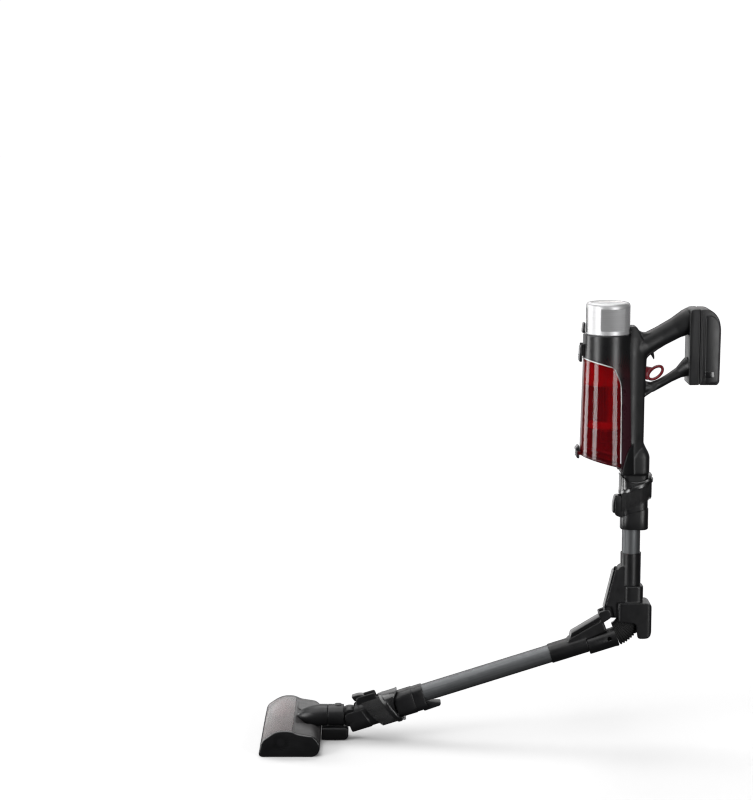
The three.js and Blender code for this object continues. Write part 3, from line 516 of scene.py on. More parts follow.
def tube_metal(name, turn):
    """Dark grey anodised tube with faint drawing lines along it."""
    paint = Paint(name, 0.46, 0.55)
    lines = paint.noise(420, 3, paint.mapped((1.6, 1.6, 0.02), turn))
    paint.tones(lines, (0.070, 0.073, 0.076), (0.100, 0.104, 0.108))
    paint.roughen(paint.noise(90, 4), 0.40, 0.52)
    paint.bump(lines, 0.00002, 0.4)
    return paint.material


def clear_red(name, color, rough=0.04):
    """Clear red polycarbonate with faint haze and hairline scratches."""
    paint = Paint(name, rough)
    paint.tones(paint.noise(22, 3), tuple(c * 0.88 for c in color), color)
    paint.set(Transmission_Weight=0.93, IOR=1.35)
    paint.roughen(paint.noise(300, 5), rough * 0.6, rough * 1.8)
    paint.bump(paint.noise(90, 2, paint.mapped((1, 1, 0.05))), 0.00002, 0.3)
    return paint.material


def bright_red():
    """The cyclone's red, darker where the bin and the collar shade it."""
    paint = moulded_plastic("bright_red", (0.80, 0.012, 0.022), 0.28, 0.6, 0.12)
    x, _, z = paint.axes()
    middle = HANDHELD @ Vector((DRUM_X, 0, 0))
    below = paint.range(z, 1, 0, (middle.z + 0.074, middle.z + 0.086))
    high = paint.range(z, 0, 1, (middle.z + 0.165, middle.z + 0.170))
    left = paint.range(x, 1, 0, (middle.x - 0.008, middle.x + 0.002))
    low = paint.range(z, 0, 1, (middle.z + 0.096, middle.z + 0.100))
    band = paint.times(low, paint.math("SUBTRACT", 1.0, high))
    shade = paint.math("MAXIMUM", below, paint.times(left, band))
    lit = paint.ramp(paint.noise(28, 4), (0.70, 0.009, 0.018), (0.85, 0.014, 0.026))
    paint.set(Base_Color=paint.mix(shade, lit, (0.16, 0.004, 0.008)))
    return paint.material


def trigger_red():
    return moulded_plastic("trigger_red", (0.15, 0.0045, 0.010), 0.26, 0.5, 0.15).material


def smoked_clear():
    """Smoked clear window, thin and slightly hazy."""
    paint = Paint("smoked_clear", 0.18)
    paint.tones(paint.noise(40, 3), (0.50, 0.45, 0.45), (0.57, 0.52, 0.52))
    paint.set(Transmission_Weight=0.88, IOR=1.25)
    paint.roughen(paint.noise(240, 4), 0.10, 0.20)
    paint.bump(paint.noise(90, 2), 0.00002, 0.3)
    return paint.material


def shell_grey():
    return moulded_plastic("shell_grey", (0.030, 0.0285, 0.029), 0.34, 0.9, 0.12).material


def soft_rubber():
    return moulded_plastic("soft_rubber", (0.008, 0.008, 0.008), 0.62, 2.0, 0.35).material


def nylon_bristle():
    """Stiff black nylon: streaked along the strands and a little shiny."""
    paint = Paint("nylon_bristle", 0.42)
    streaks = paint.noise(700, 3, paint.mapped((1, 1, 0.15)))
    paint.tones(streaks, (0.006, 0.006, 0.006), (0.022, 0.022, 0.023))
    paint.roughen(streaks, 0.35, 0.6)
    paint.bump(streaks, 0.0001, 0.6)
    return paint.material


def roller_pile():
    """Dusky red pile, painted darker in the hollows between the tufts as shade; the same noise raises the
    tufts by bump.
    """
    paint = Paint("roller_pile", 0.85)
    tuft_height = paint.noise(260, 5)
    # Painted shade: the pile is coloured darker where the tufts sit lower.
    paint.tones(tuft_height, (0.20, 0.075, 0.08), (0.50, 0.22, 0.23))
    paint.set(Sheen_Weight=0.5)
    paint.bump(tuft_height, 0.0008, 0.8)
    return paint.material


def machined_steel():
    return brushed_silver("machined_steel", (0.45, 0.45, 0.46), 1.0)


def filter_foam():
    paint = Paint("filter_foam", 0.95)
    cells = paint.noise(900, 4)
    paint.tones(cells, (0.03, 0.03, 0.032), (0.13, 0.13, 0.135))
    paint.bump(cells, 0.0006, 0.9)
    return paint.material


def pleated_paper():
    """Filter paper with upright pleats round the axis, painted darker in the pleat valleys as shade."""
    paint = Paint("pleated_paper", 0.9)
    x, y, _ = paint.axes()
    middle = HANDHELD @ Vector((DRUM_X, 0, 0))
    angle = paint.math("ARCTAN2", y, paint.math("SUBTRACT", x, middle.x))
    pleats = paint.math("SINE", paint.times(angle, 72.0))
    # Painted shade: the paper is coloured darker in the pleat valleys and lighter on the ridges.
    paint.tones(paint.range(pleats, 0, 1, (-1, 1)), (0.45, 0.43, 0.38), (0.78, 0.76, 0.70))
    paint.bump(pleats, 0.0008, 0.8)
    return paint.material


def circuit_board():
    paint = Paint("circuit_board", 0.4)
    traces = paint.noise(500, 1, paint.mapped((1, 1, 0.3)))
    paint.tones(traces, (0.012, 0.05, 0.02), (0.03, 0.14, 0.05), (0.48, 0.52))
    paint.roughen(traces, 0.3, 0.5)
    paint.bump(traces, 0.00005, 0.6)
    return paint.material


def cell_wrap():
    return moulded_plastic("cell_wrap", (0.03, 0.11, 0.28), 0.3, 0.5).material


SATIN = satin_black()
SLEEVE = sleeve_black()
GRIP = grip_black()
GLOSS = gloss_black()
DRUM = drum_black()
SILVER = brushed_silver()
TRIM = brushed_silver("trim_silver", (0.74, 0.74, 0.74), 0.3)
HOLE_SHADE = perforation_shade()
UPPER_TUBE = tube_metal("tube_metal_upper", 0.0)
LOWER_TUBE = tube_metal("tube_metal_lower", BEND)
CLEAR = clear_red("clear_red", (0.74, 0.026, 0.04))
CLEAR_LID = clear_red("clear_red_lid", (0.50, 0.02, 0.035), 0.10)
RED = bright_red()
TRIGGER = trigger_red()
SMOKED = smoked_clear()
GREY = shell_grey()
RUBBER = soft_rubber()
BRISTLE = nylon_bristle()
PILE = roller_pile()
STEEL = machined_steel()

# Handheld: drum, canister and cyclone


def canister_r(z):
    return 52.5 - (z - 15) / 41


def wall_ring(grow, z_at, segments=96):
    """A ring on the canister's tapered wall; z_at gives its height from x."""
    ring = []
    for angle in turns(segments):
        z = z_at(DRUM_X)
        for _ in range(3):
            r = canister_r(z) + grow
            x = DRUM_X + r * math.cos(angle)
            z = z_at(x)
        ring.append((x, r * math.sin(angle), z))
    return ring


def rim(lift=0.0):
    """Height of the slanted rim at x, plus lift."""
    return lambda x: RIM_Z - RIM_SLOPE * x + lift


def lid_plane(lift=0.0):
    """Height of the slanted lid at x, plus lift."""
    return lambda x: LID_Z - RIM_SLOPE * x + lift


def level(z):
    """The same height at every x."""
    return lambda x: z


def drum_side():
    """Side outline of the drum, its slanted rim and the cradle behind the canister."""
    return rounded([
        (-112, RIM_Z + RIM_SLOPE * 112), (-44, RIM_Z + RIM_SLOPE * 44, 10), (-29, 176, 14),
        (-27.5, 1), (14, 1), (14, 280), (-112, 280)], 8)


def make_drum():
    """The drum's wall with its slanted rim, hollowed for the canister."""
    outer = lathe([
        (20, 268), (46.8, 268), (48, 266.8), (48, 222), (canister_r(190) + 2.4, 190),
        (canister_r(0) + 2.4, 0), (20, 0)], DRUM_X)
    shell = common(outer, prism(drum_side(), -70, 70))
    room = skin([wall_ring(0.4, level(-8)), wall_ring(0.4, rim())])
    return eased(cut(shell, room), 0.7)


def make_button_guide():
    """The guide that the canister's release button runs in."""
    plate = box(-106, -98.6, -12, 12, 226, 249)
    return eased(cut(plate, box(-110, -101, -9.4, 9.4, 225, 250)), 0.8)


def trim_path():
    """The rim line from the cradle's far edge, round the front, to its near edge."""
    half = []
    for degrees in range(0, 91, 3):
        r = canister_r(215) + 0.45
        x = DRUM_X - r * math.cos(math.radians(degrees))
        half.append((x, rim(-1.0)(x)))
    line = rim(-1.0)
    corner = rounded([(-49, line(-49)), (-44, line(-44), 10), (-29.4, 176, 14), (-28.4, 140)], 8)
    half += [tuple(p) for p in corner[1:]]
    half += [(-28.4, z) for z in range(130, 11, -16)]
    path = []
    for x, z in half:
        r = canister_r(z) + 0.45
        path.append((x, -math.sqrt(max(r * r - (x - DRUM_X) ** 2, 0)), z))
    return [(x, -y, z) for x, y, z in reversed(path[1:])] + path


def make_canister():
    """The clear wall between the slanted rim and the slanted lid."""
    def foot(x):
        return lid_plane(9.4 if x < LID_EDGE + 0.4 else 0)(x)

    return skin([
        wall_ring(0, foot), wall_ring(0, lid_plane(12)), wall_ring(0, rim(-4)), wall_ring(-0.2, rim(-0.9)),
        wall_ring(-0.6, rim(-0.6)), wall_ring(-2.0, rim(-0.6)), wall_ring(-2.4, rim(-0.9)),
        wall_ring(-2.4, lid_plane(12)), wall_ring(-2.4, foot)], closed=True)


def make_lid():
    """The canister's flat lid, its hinge knuckle and the ears that hold its latch."""
    cup = skin([
        wall_ring(-2.0, lid_plane(-0.4)), wall_ring(-0.3, lid_plane(0.2)), wall_ring(0.5, lid_plane(1.0)),
        wall_ring(0.5, lid_plane(2.4)), wall_ring(-0.3, lid_plane(3.2)), wall_ring(-0.3, lid_plane(9)),
        wall_ring(-3.2, lid_plane(9)), wall_ring(-3.4, lid_plane(3))])
    front = common(cup, box(-140, LID_EDGE, -70, 70, -40, 80))
    ears = both_sides(lambda s: box(-110, -101.5, s * 11.8 - 1.3, s * 11.8 + 1.3, 29.5, 36, 0.5))
    knuckle = bar((-27.8, -9, 2.5), (-27.8, 9, 2.5), 3)
    return joined(front, knuckle, box(-30.8, -25.8, -9, 9, 2.5, 10), *ears)


def make_lid_latch():
    grip = slab([(-112.6, 34, 5), (-111, 22.5, 3), (-106.5, 22, 1.5), (-106, 46, 2), (-110, 47.5, 3)],
                -10, 10, 1.6)
    boss = eased(bar((-109.2, -11, 40), (-109.2, 11, 40), 4.4), 0.8)
    ribs = [box(-112.9, -110.5, -8, 8, z, z + 1.1, 0.3) for z in (27, 30, 33)]
    return joined(grip, boss, *ribs)


def spokes(count, *sizes):
    """Boxes standing round the drum's axis."""
    made = []
    for angle in turns(count):
        spoke = box(*sizes)
        spoke.data.transform(Matrix.Translation((DRUM_X, 0, 0)) @ Matrix.Rotation(angle, 4, "Z"))
        made.append(spoke)
    return made


def make_shroud():
    """The finned screen: a wide collar under the rim and a narrower cylinder below it."""
    def ring(r, z_at):
        return [(x, y, z_at(x)) for x, y in oval_points(r, r, DRUM_X, 96)]

    wall = skin([
        ring(31.6, level(96)), ring(33, level(96)), ring(33, level(168)), ring(44.2, level(169)),
        ring(45, level(170)), ring(45, rim(-1.4)), ring(43.6, rim(-1.4)), ring(43.6, level(171)),
        ring(31.6, level(170))], closed=True)
    return joined(wall, *spokes(40, 33.2, 36.5, -0.5, 0.5, 98, 167, 0.2))


def make_core():
    """The cyclone's skirt, and the cone below it that sheds dust into the bin."""
    skirt = lathe([
        (30, 95.6), (33, 95.6), (34.5, 93), (38, 84.6), (37.6, 83.4), (36.5, 83.2), (33, 90), (28, 92.4),
        (15, 92.4), (13.6, 80), (11, 53), (9.4, 52), (9, 52.6), (12.6, 93), (28, 94)], DRUM_X, closed=True)
    return joined(skirt, *spokes(6, 10, 24, -0.7, 0.7, 78, 92.6, 0.3))


def hole_depth(angle, z):
    """How deep the perforated patches are cut at a place on the cap's side, from 0 to 1."""
    nearest = min(abs((angle - patch + math.pi) % math.tau - math.pi) for patch in CAP_PATCH_TURNS)
    if nearest > CAP_PATCH_REACH or not 277 < z < 319.5:
        return 0.0
    column_wave = math.cos(CAP_HOLE_COLUMNS * angle)
    row_wave = math.cos(math.tau * (z - CAP_SIDE_FOOT) / CAP_HOLE_PITCH)
    return 1.0 if abs(column_wave * row_wave) > 0.9 else 0.0


def make_exhaust_cap():
    """The cap's wall, on a lattice with four columns and rows for each hole of its patches."""
    segments = 4 * CAP_HOLE_COLUMNS
    row_height = CAP_HOLE_PITCH / 4
    rows = int((CAP_SIDE_TOP - CAP_SIDE_FOOT) / row_height)
    side = [(CAP_R - 0.6, 268.5), (CAP_R, 269.2)]
    side += [(CAP_R, CAP_SIDE_FOOT + i * row_height) for i in range(rows + 1)]
    crown = [(CAP_R - 0.3, 325.6), (CAP_R - 1.2, 327.6), (CAP_R - 3, 329.2), (CAP_R - 5.5, 330),
             (CAP_R - 9, 330), (CAP_R - 10, 329.2), (CAP_R - 11.5, 328.8), (6, 328.4)]
    inside = [(6, 327.4), (CAP_R - 6, 327.4), (CAP_R - 2, 323), (CAP_R - 2, 268.5)]
    rings = []
    for r, z in side + crown + inside:
        ring = []
        for angle in turns(segments):
            depth = hole_depth(angle + math.pi / 2, z) if r == CAP_R else 0
            ring.append((DRUM_X + (r - depth) * math.cos(angle), (r - depth) * math.sin(angle), z))
        rings.append(ring)
    cap = skin(rings, closed=True)
    # The faces inside the hole recesses take the second material, the painted shade.
    for polygon in cap.data.polygons:
        x, y, z = polygon.center
        reach = math.hypot(x - DRUM_X, y)
        in_side = CAP_SIDE_FOOT < z < CAP_SIDE_TOP
        polygon.material_index = int(in_side and CAP_R - 1.5 < reach < CAP_R - 0.42)
    plug = lathe([(6.2, 327.5), (6.2, 328.5), (5.6, 328.7), (0.5, 328.8)], DRUM_X, segments=32)
    return joined(cap, plug)


def make_exhaust_latch():
    return slab([(-103.6, 270.8, 3), (-97.5, 270.8, 1), (-97.5, 290, 1.5), (-101.5, 290.5, 4)], -8, 8, 1.2)


def make_canister_button():
    button = slab([(-109, 214, 4), (-103.5, 214, 1), (-103.5, 245, 1), (-107.5, 245, 4)], -9, 9, 1.4)
    ridges = [box(-109.4, -107.5, -6, 6, z, z + 1.2, 0.3) for z in (219, 222.5, 226)]
    return joined(button, *ridges)


def add_exhaust_cap():
    cap = make_exhaust_cap()
    index = [p.material_index for p in cap.data.polygons]
    place(cap, "cap_shell", HANDHELD, "exhaust_cap", [SILVER, HOLE_SHADE], "exhaust_cap", "silver")
    for polygon, value in zip(cap.data.polygons, index):
        polygon.material_index = value


def add_drum_and_canister():
    drum = joined(make_drum(), make_button_guide())
    place(drum, "drum_shell", HANDHELD, "handheld", DRUM, "motor_drum")
    trim = tube_along(trim_path(), 0.9, 10)
    place(trim, "rim_trim", HANDHELD, "canister", TRIM, "drum_trim", "silver")
    add_exhaust_cap()
    place(make_exhaust_latch(), "cap_catch", HANDHELD, "cap_latch", GLOSS, "cap_latch")
    place(make_canister_button(), "canister_release", HANDHELD, "canister_button", GLOSS, "canister_button")
    place(make_canister(), "canister_wall", HANDHELD, "canister", CLEAR, "canister", "clear_red")
    place(make_lid(), "lid_cup", HANDHELD, "lid", CLEAR_LID, "canister_lid", "clear_red")
    place(make_lid_latch(), "lid_catch", HANDHELD, "lid_latch", GLOSS, "lid_latch")
    place(make_shroud(), "cyclone_screen", HANDHELD, "canister", RED, "shroud_mesh", "inner_red")
    place(make_core(), "cyclone_skirt", HANDHELD, "canister", RED, "cyclone_core", "inner_red")


# Handheld: body halves, trigger and battery


def make_body_shapes():
    """The overlapping shapes that melt into the handheld's body."""
    side = slab([
        (-14, -9), (31, -9, 2), (31, 36, 6), (19, 50, 8), (19.5, 150, 4), (24, 240, 10), (2, 284, 5),
        (-9.5, 284, 6), (-14, 262)], -30, 30)
    plan = rounded([(-14, -29), (-2, -29, 10), (24, -15, 10), (24, 15, 10), (-2, 29, 10), (-14, 29)], 8)
    spine = common(side, tower(plan, [(-9, 1), (228, 1), (262, 0.82), (291, 0.5)]))
    nozzle = column(-24.3, 32, 27, 17, [(4, -9.6), (0.6, -8), (0, -5), (0, 26), (2.5, 34), (9, 46), (15, 60)])
    wrap = common(
        lathe([
            (canister_r(0) + 1.4, -6), (canister_r(0) + 5.5, -6), (canister_r(70) + 5.5, 70),
            (canister_r(70) + 1.4, 70)], DRUM_X, closed=True),
        slab([(-26.5, -9.6), (-26.5, 2, 4), (-12, 50, 30), (30, 78), (30, -9.6)], -70, 70))
    mouth = column(-22, 31, 20, 14, rounded_ends(-32, -6, 1.2))
    grip_path = [(4, 0, 240), (22, 0, 247.5), (52, 0, 264.5), (80, 0, 280), (DOCK_X - 2, 0, 291.5),
                 (DOCK_X + 6, 0, 294)]
    grip = tube_along(grip_path, [27, 21.3, 19.8, 20.8, 25, 27], 40, 0.86)
    saddle = slab([
        (-6, 262, 4), (-7, 283, 4), (0, 284, 2), (14, 268, 12), (46, 276), (62, 256), (44, 237, 10),
        (27, 227, 16), (14, 206, 12), (8, 190, 4), (-4, 180, 4)], -11.5, 11.5, 4)
    hook_path = [(31, 0, 236), (34.5, 0, 230), (37, 0, 224), (38.7, 0, 217.5)]
    hook = tube_along(hook_path, [6, 3.6, 2.2, 0.9], 16, 1.6)
    strut_path = [(6, 0, 170), (20, 0, 161), (36, 0, 163), (52, 0, 170.5), (70, 0, 181), (88, 0, 191.5),
                  (DOCK_X - 2, 0, 200), (DOCK_X + 6, 0, 203)]
    strut = tube_along(strut_path, [15, 13.5, 9.8, 8.4, 8.6, 10.5, 17, 22], 32, 1.05)
    knee = slab([
        (2, 198, 8), (13, 187, 12), (28, 168, 16), (46, 169, 8), (46, 161, 4), (27, 149, 14), (8, 134, 10),
        (2, 128)], -10.5, 10.5, 4)
    return spine, nozzle, wrap, mouth, grip, saddle, hook, strut, knee


def make_body():
    whole = melted(1.05, 9, *make_body_shapes())
    drum_room = lathe([
        (10, 275), (DRUM_R + 0.4, 275), (DRUM_R + 0.4, 222), (canister_r(190) + 2.8, 190),
        (canister_r(0) + 2.8, 0.4), (10, 0.4)], DRUM_X)
    cap_room = lathe([(10, 270), (DRUM_R - 4.6, 270), (DRUM_R - 4.6, 340), (10, 340)], DRUM_X)
    dock_face = box(DOCK_X + 4, DOCK_X + 40, -60, 60, 100, 360)
    slot = box(-2, 34, -4.5, 4.5, 181, 215)
    duct = bar((0, 0, -40), (0, 0, 6), 16.5)
    return cut(whole, drum_room, cap_room, dock_face, slot, duct)


def half_of(body, side):
    """The half of the body on one side of the parting line, with its open side closed."""
    gap = 0.16
    half = bmesh.new()
    half.from_mesh(body.data)
    geometry = half.verts[:] + half.edges[:] + half.faces[:]
    cutting = bmesh.ops.bisect_plane(
        half, geom=geometry, plane_co=(0, side * gap, 0), plane_no=(0, -side, 0), clear_outer=True)
    edges = [e for e in cutting["geom_cut"] if isinstance(e, bmesh.types.BMEdge)]
    bmesh.ops.triangle_fill(half, edges=edges, use_beauty=True, use_dissolve=False)
    return shown(half)


def make_trigger():
    """An oval finger ring and the root that pivots in the body."""
    turn = math.radians(40)
    points = []
    for long, wide in oval_points(16.6, 9.6, 0, 64):
        points.append((42 + long * math.cos(turn) - wide * math.sin(turn), 0,
                       191 + long * math.sin(turn) + wide * math.cos(turn)))
    ring = tube_along(points, 2.5, 14, 1.5, closed=True)
    root = slab([
        (1.5, 204, 3), (14, 205, 5), (36, 201, 2), (27, 190, 5), (28, 177, 2), (21, 179, 6), (12, 188, 6),
        (1.5, 190, 2)], -3.6, 3.6, 1.4)
    return joined(ring, root)


def make_battery():
    side = [(124.5, 172, 2), (162.5, 172, 8), (164, 296, 24), (146, 318.5, 22), (124.5, 318.5, 2)]
    case = slab(side, -33.6, 33.6, 4)
    panel_side = [(133.5, 174, 7), (161, 174, 8), (162.3, 294, 17), (148, 308, 13), (133.5, 308, 9)]
    panels = both_sides(lambda s: slab(panel_side, s * 30, s * 36, 2.6))
    ridges = both_sides(lambda s: tube_along([(128.6, s * 33.2, 177), (128.6, s * 33.2, 312)], 1.5, 12))
    foot = slab([(126, 170.9, 1), (160, 170.9, 5), (160, 174), (126, 174)], -30, 30, 1)
    return joined(case, *panels, *ridges, foot)


def make_dock():
    plate = slab([(DOCK_X, 170.5, 4), (124, 171, 2), (124, 319, 2), (DOCK_X + 1, 319, 8), (DOCK_X, 300, 6)],
                 -30, 30, 2.4)
    seam = both_sides(lambda s: box(120.4, 121.3, s * 30 - 0.8, s * 30 + 0.8, 160, 330))
    return cut(plate, *seam)


def add_body_and_battery():
    body = make_body()
    for side, name in SIDES:
        place(half_of(body, side), f"body_shell_{name}", HANDHELD, "handheld", GRIP, f"body_{name}",
              sharp=SOFT_ANGLE)
    bpy.data.objects.remove(body)
    place(make_trigger(), "trigger_ring", HANDHELD, "trigger", TRIGGER, "trigger", "trigger_red")
    place(make_dock(), "dock_shell", HANDHELD, "handheld", SATIN, "battery_dock")
    place(make_battery(), "battery_shell", HANDHELD, "battery", SATIN, "battery_case")
    for side, name in SIDES:
        key = box(134, 152, side * 35, side * 37.5, 186, 198, 1)
        place(key, f"battery_release_{name}", HANDHELD, f"battery_key_{name}", GLOSS, f"battery_key_{name}")


# Dusting brush, collars and buttons at the two wand ends


def make_sleeve():
    """The brush's sleeve: a scooped neck that flares into a slanted band."""
    count = 96

    def neck(inset, z_at):
        corners = [(37 - inset, 0), (37 - inset, 25 - inset, 18), (-25 + inset, 25 - inset, 18),
                   (-25 + inset, -25 + inset, 18), (37 - inset, -25 + inset, 18)]
        return resampled(rounded(corners, 10), count, z_at)

    def band(inset, z_at):
        outline = [Vector(p) for p in oval_points(33.5 - inset, 31 - inset, 7.5, count)]
        return [(x, y, z_at(x)) for x, y in outline]

    def scoop(lift):
        return lambda x: 17.3 - math.sqrt(max(41.3 ** 2 - (x - 6) ** 2, 0)) + lift

    def slanted(z):
        return lambda x: z + BRUSH_SLOPE * x

    rings = [
        neck(2.6, scoop(-1)), neck(2.0, scoop(0)), neck(0.4, scoop(0)), neck(-0.3, scoop(-0.8)),
        neck(-0.3, scoop(-2.0)), neck(0.5, scoop(-2.8)), neck(0.5, slanted(-31)), neck(0.0, slanted(-32.4)),
        band(0.9, slanted(-33.0)), band(0.0, slanted(-34.2)), band(0.0, slanted(-39.6)),
        band(0.8, slanted(-40.5)), band(6, slanted(-40.5)), neck(2.6, slanted(-36))]
    return skin(rings, closed=True)


def resampled(outline, count, z_at):
    """A closed outline cut into count points at even angles round its middle."""
    middle = Vector((6, 0))
    ring = []
    for ray in [Vector(p) for p in oval_points(1, 1, 0, count)]:
        best = None
        for a, b in zip(outline, outline[1:] + outline[:1]):
            edge = b - a
            cross = ray.x * edge.y - ray.y * edge.x
            if abs(cross) < 1e-9:
                continue
            away = a - middle
            reach = (away.x * edge.y - away.y * edge.x) / cross
            along = (away.x * ray.y - away.y * ray.x) / cross
            if reach > 0 and -1e-6 <= along <= 1 + 1e-6:
                best = reach if best is None else max(best, reach)
        point = middle + ray * best
        ring.append((point.x, point.y, z_at(point.x)))
    return ring


def make_bristles():
    """Rows of nylon strands under the band, open where the wand's button is."""
    strands = []
    faces = []
    for radius_x, radius_y, count in ((31.6, 28.6, 150), (30.2, 27.2, 140)):
        for x, y in oval_points(radius_x, radius_y, 6.5, count):
            if x < -10 and abs(y) < 13:
                continue
            length = random.uniform(-1.2, 0.8)
            lean_x, lean_y = random.uniform(-0.5, 0.5), random.uniform(-0.5, 0.5)
            start = len(strands)
            for r, z, lean in ((0.52, -40.2 + BRUSH_SLOPE * x, 0), (0.5, -58 + 0.45 * x, 0.4),
                               (0.25, -75 + 0.5 * x + length, 1)):
                for edge_x, edge_y in oval_points(r, r, x + lean * lean_x, 5):
                    strands.append((edge_x, y + lean * lean_y + edge_y, z))
            for row in (0, 5):
                for k in range(5):
                    n = (k + 1) % 5
                    faces.append((start + row + k, start + row + n, start + row + 5 + n, start + row + 5 + k))
            faces.append(tuple(start + k for k in reversed(range(5))))
            faces.append(tuple(start + 10 + k for k in range(5)))
    return new_object(strands, faces)


def make_collar():
    """A wand collar: an inner socket, a shell with a curved upper edge, and ears round the button."""
    socket = column(-20.6, 31.2, 18.6, 17.6, rounded_ends(-112, -50.5, 1.5))

    def edge(drop):
        return lambda x: -86 + 0.30 * x - 0.004 * (x - 6) ** 2 - drop

    shell = column(-22, 32.6, 20, 19, [
        (1.6, -121), (0.5, -120.4), (0, -119), (0, edge(1.2)), (0.4, edge(0.4)), (1.5, edge(0))])
    ears = both_sides(lambda s: slab(
        [(-34, -92, 5), (-33.4, -54, 3), (-18, -53), (-18, -98)], s * 10.2 - 1.6, s * 10.2 + 1.6, 0.6))
    return joined(socket, shell, *ears)


def make_button(z0, z1, slant=0.0):
    side = [(-38, z0 - slant, 3), (-27, z0, 1), (-27, z1, 1), (-34.5, z1, 6), (-38, (z0 + z1) / 2, 5)]
    return slab(side, -8.2, 8.2, 1.3)


def add_brush(at, body, side):
    place(make_sleeve(), f"brush_band_{side}", at, body, SLEEVE, f"brush_sleeve_{side}")
    place(make_bristles(), f"brush_strands_{side}", at, body, BRISTLE, f"bristles_{side}", "bristle",
          math.radians(60))


# Wand: tubes and the folding joint


def make_tube(z0, z1, outer=TUBE_R, inner=16.3):
    return lathe([
        (inner, z0), (outer - 0.3, z0), (outer, z0 + 0.3), (outer, z1 - 0.3), (outer - 0.3, z1), (inner, z1)],
        HINGE_OFFSET, closed=True, segments=128)


def make_upper_housing():
    neck = lathe([(12, 57.6), (19.8, 57.6), (19.8, 123.5), (12, 123.5)], HINGE_OFFSET)
    shoulder = slab([
        (34, 99, 6), (23, 96, 4), (18.5, 88, 3), (7.2, 28, 2), (6.2, 17, 2), (11, 9, 4), (15, -8, 4),
        (30, -8, 2), (30, 14, 2), (40, 22), (40, 60)], -14.6, 14.6, 2)
    rails = both_sides(lambda s: slab(
        [(15, 92, 4), (-3.6, 16, 4), (8, 14, 4), (24, 90, 4)], s * 13.2 - 1.5, s * 13.2 + 1.5, 0.8))
    eye = slab([(5.5, 24), (-7, 8, 4), (-8, -6, 7), (7, -9, 7), (24, -9, 4), (24, 24)], -8, 8, 0.8)
    blended = melted(0.8, 4, neck, shoulder, eye, *rails)
    rim_cut = lathe([(17.9, 119), (30, 119), (30, 130), (17.9, 130)], HINGE_OFFSET, closed=True)
    lip = lathe([(17.9, 118.6), (19.2, 118.6), (19.9, 119.3), (19.9, 122.8), (19.2, 123.5), (17.9, 123.5)],
                HINGE_OFFSET, closed=True)
    bore = bar((HINGE_OFFSET, 0, 50), (HINGE_OFFSET, 0, 130), 17.85)
    return joined(cut(blended, rim_cut, bore), lip)


def make_knuckle():
    throat = column(31.6, 70.5, 20, 13, rounded_ends(18, 57.2, 2))
    side = slab([
        (20, 24.5, 5), (87, 24.5, 12), (87, -47.5, 17), (60, -47.5, 5), (56, -17.5, 6), (20, -13, 4)],
        -40, 40)
    plan = rounded([(20, -26, 8), (87, -26, 9), (87, 26, 9), (20, 26, 8)], 8)
    block = common(side, tower(plan, [(-60, 1), (30, 1)]))
    shape = melted(0.95, 4, throat, block)
    room = slab([(23, 21.5), (84, 21.5, 8), (84, -60), (23, -60)], -22.5, 22.5)
    below = box(10, 74, -22.5, 22.5, -60, 0)
    return cut(shape, room, below)


def make_hose():
    """Corrugated hose across the fold, as a quarter turn about the hinge."""
    start, end = math.radians(6), math.radians(-66.9)
    ribs = 15
    per_rib = 8
    points = []
    radii = []
    middle = HOSE_RADIUS - 5
    for i in range(ribs * per_rib + 1):
        t = i / (ribs * per_rib)
        angle = start + (end - start) * t
        points.append((middle * math.cos(angle), 0, middle * math.sin(angle)))
        wave = 0.5 - 0.5 * math.cos(math.tau * i / per_rib)
        radii.append(21.6 + 3.2 * wave ** 0.8)
    return tube_along(points, radii, 40, 0.8)


def add_hose():
    hose = make_hose()
    hose.name = "fold_hose"
    hose.data.transform(UPPER)
    hose.data.materials.append(RUBBER)
    hose.data.shade_smooth()

    def at(degrees):
        """A point on the hose's curve, that far round the hinge."""
        turn = math.radians(degrees)
        return UPPER @ Vector((HOSE_RADIUS * math.cos(turn), 0, HOSE_RADIUS * math.sin(turn)))

    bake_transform(hose)
    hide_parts("flex_bellows")


def make_lever():
    return slab([(10.5, 87.5, 3), (-7.5, 9, 4), (-1.5, 16, 2), (2, 30, 2), (13, 87.5, 2)], -10.6, 10.6, 1.4)


def make_barrel():
    wall = lathe([
        (15.5, -55.5), (18.2, -55.5), (19, -54.7), (19, -2), (19.6, 1), (19.6, 3.7), (18.8, 4.5),
        (15.5, 4.5)], HOSE_RADIUS, closed=True)
    holes = both_sides(lambda s: bar((HOSE_RADIUS - 3, s * 30, -11), (HOSE_RADIUS - 3, s * 13, -11), 4.4))
    return eased(cut(wall, *holes), 0.5)


def make_lower_housing():
    neck = lathe([(12, -133), (19.4, -133), (19.4, -56), (12, -56)], HINGE_OFFSET)
    shoulder = slab([
        (30, -95, 5), (25, -86, 3), (10.5, -20, 3), (1, -13), (14, -12, 3), (34, -11, 4), (40, -64),
        (40, -90)], -14.6, 14.6, 3)
    fork = slab([(-8, -16, 3), (-9, 7, 8), (9, 7, 8), (15, -16, 3)], -15, 15, 1)
    slot = box(-20, 30, -8.4, 8.4, -13.4, 20)
    blended = melted(0.8, 4, neck, shoulder, cut(fork, slot))
    swing = bar((0, -8.4, 0), (0, 8.4, 0), 14)
    bore = bar((HINGE_OFFSET, 0, -140), (HINGE_OFFSET, 0, -40), 17.85)
    groove = lathe([(19.0, -127.2), (22, -127.2), (22, -126.2), (19.0, -126.2)], HINGE_OFFSET, closed=True)
    return cut(blended, swing, bore, groove)


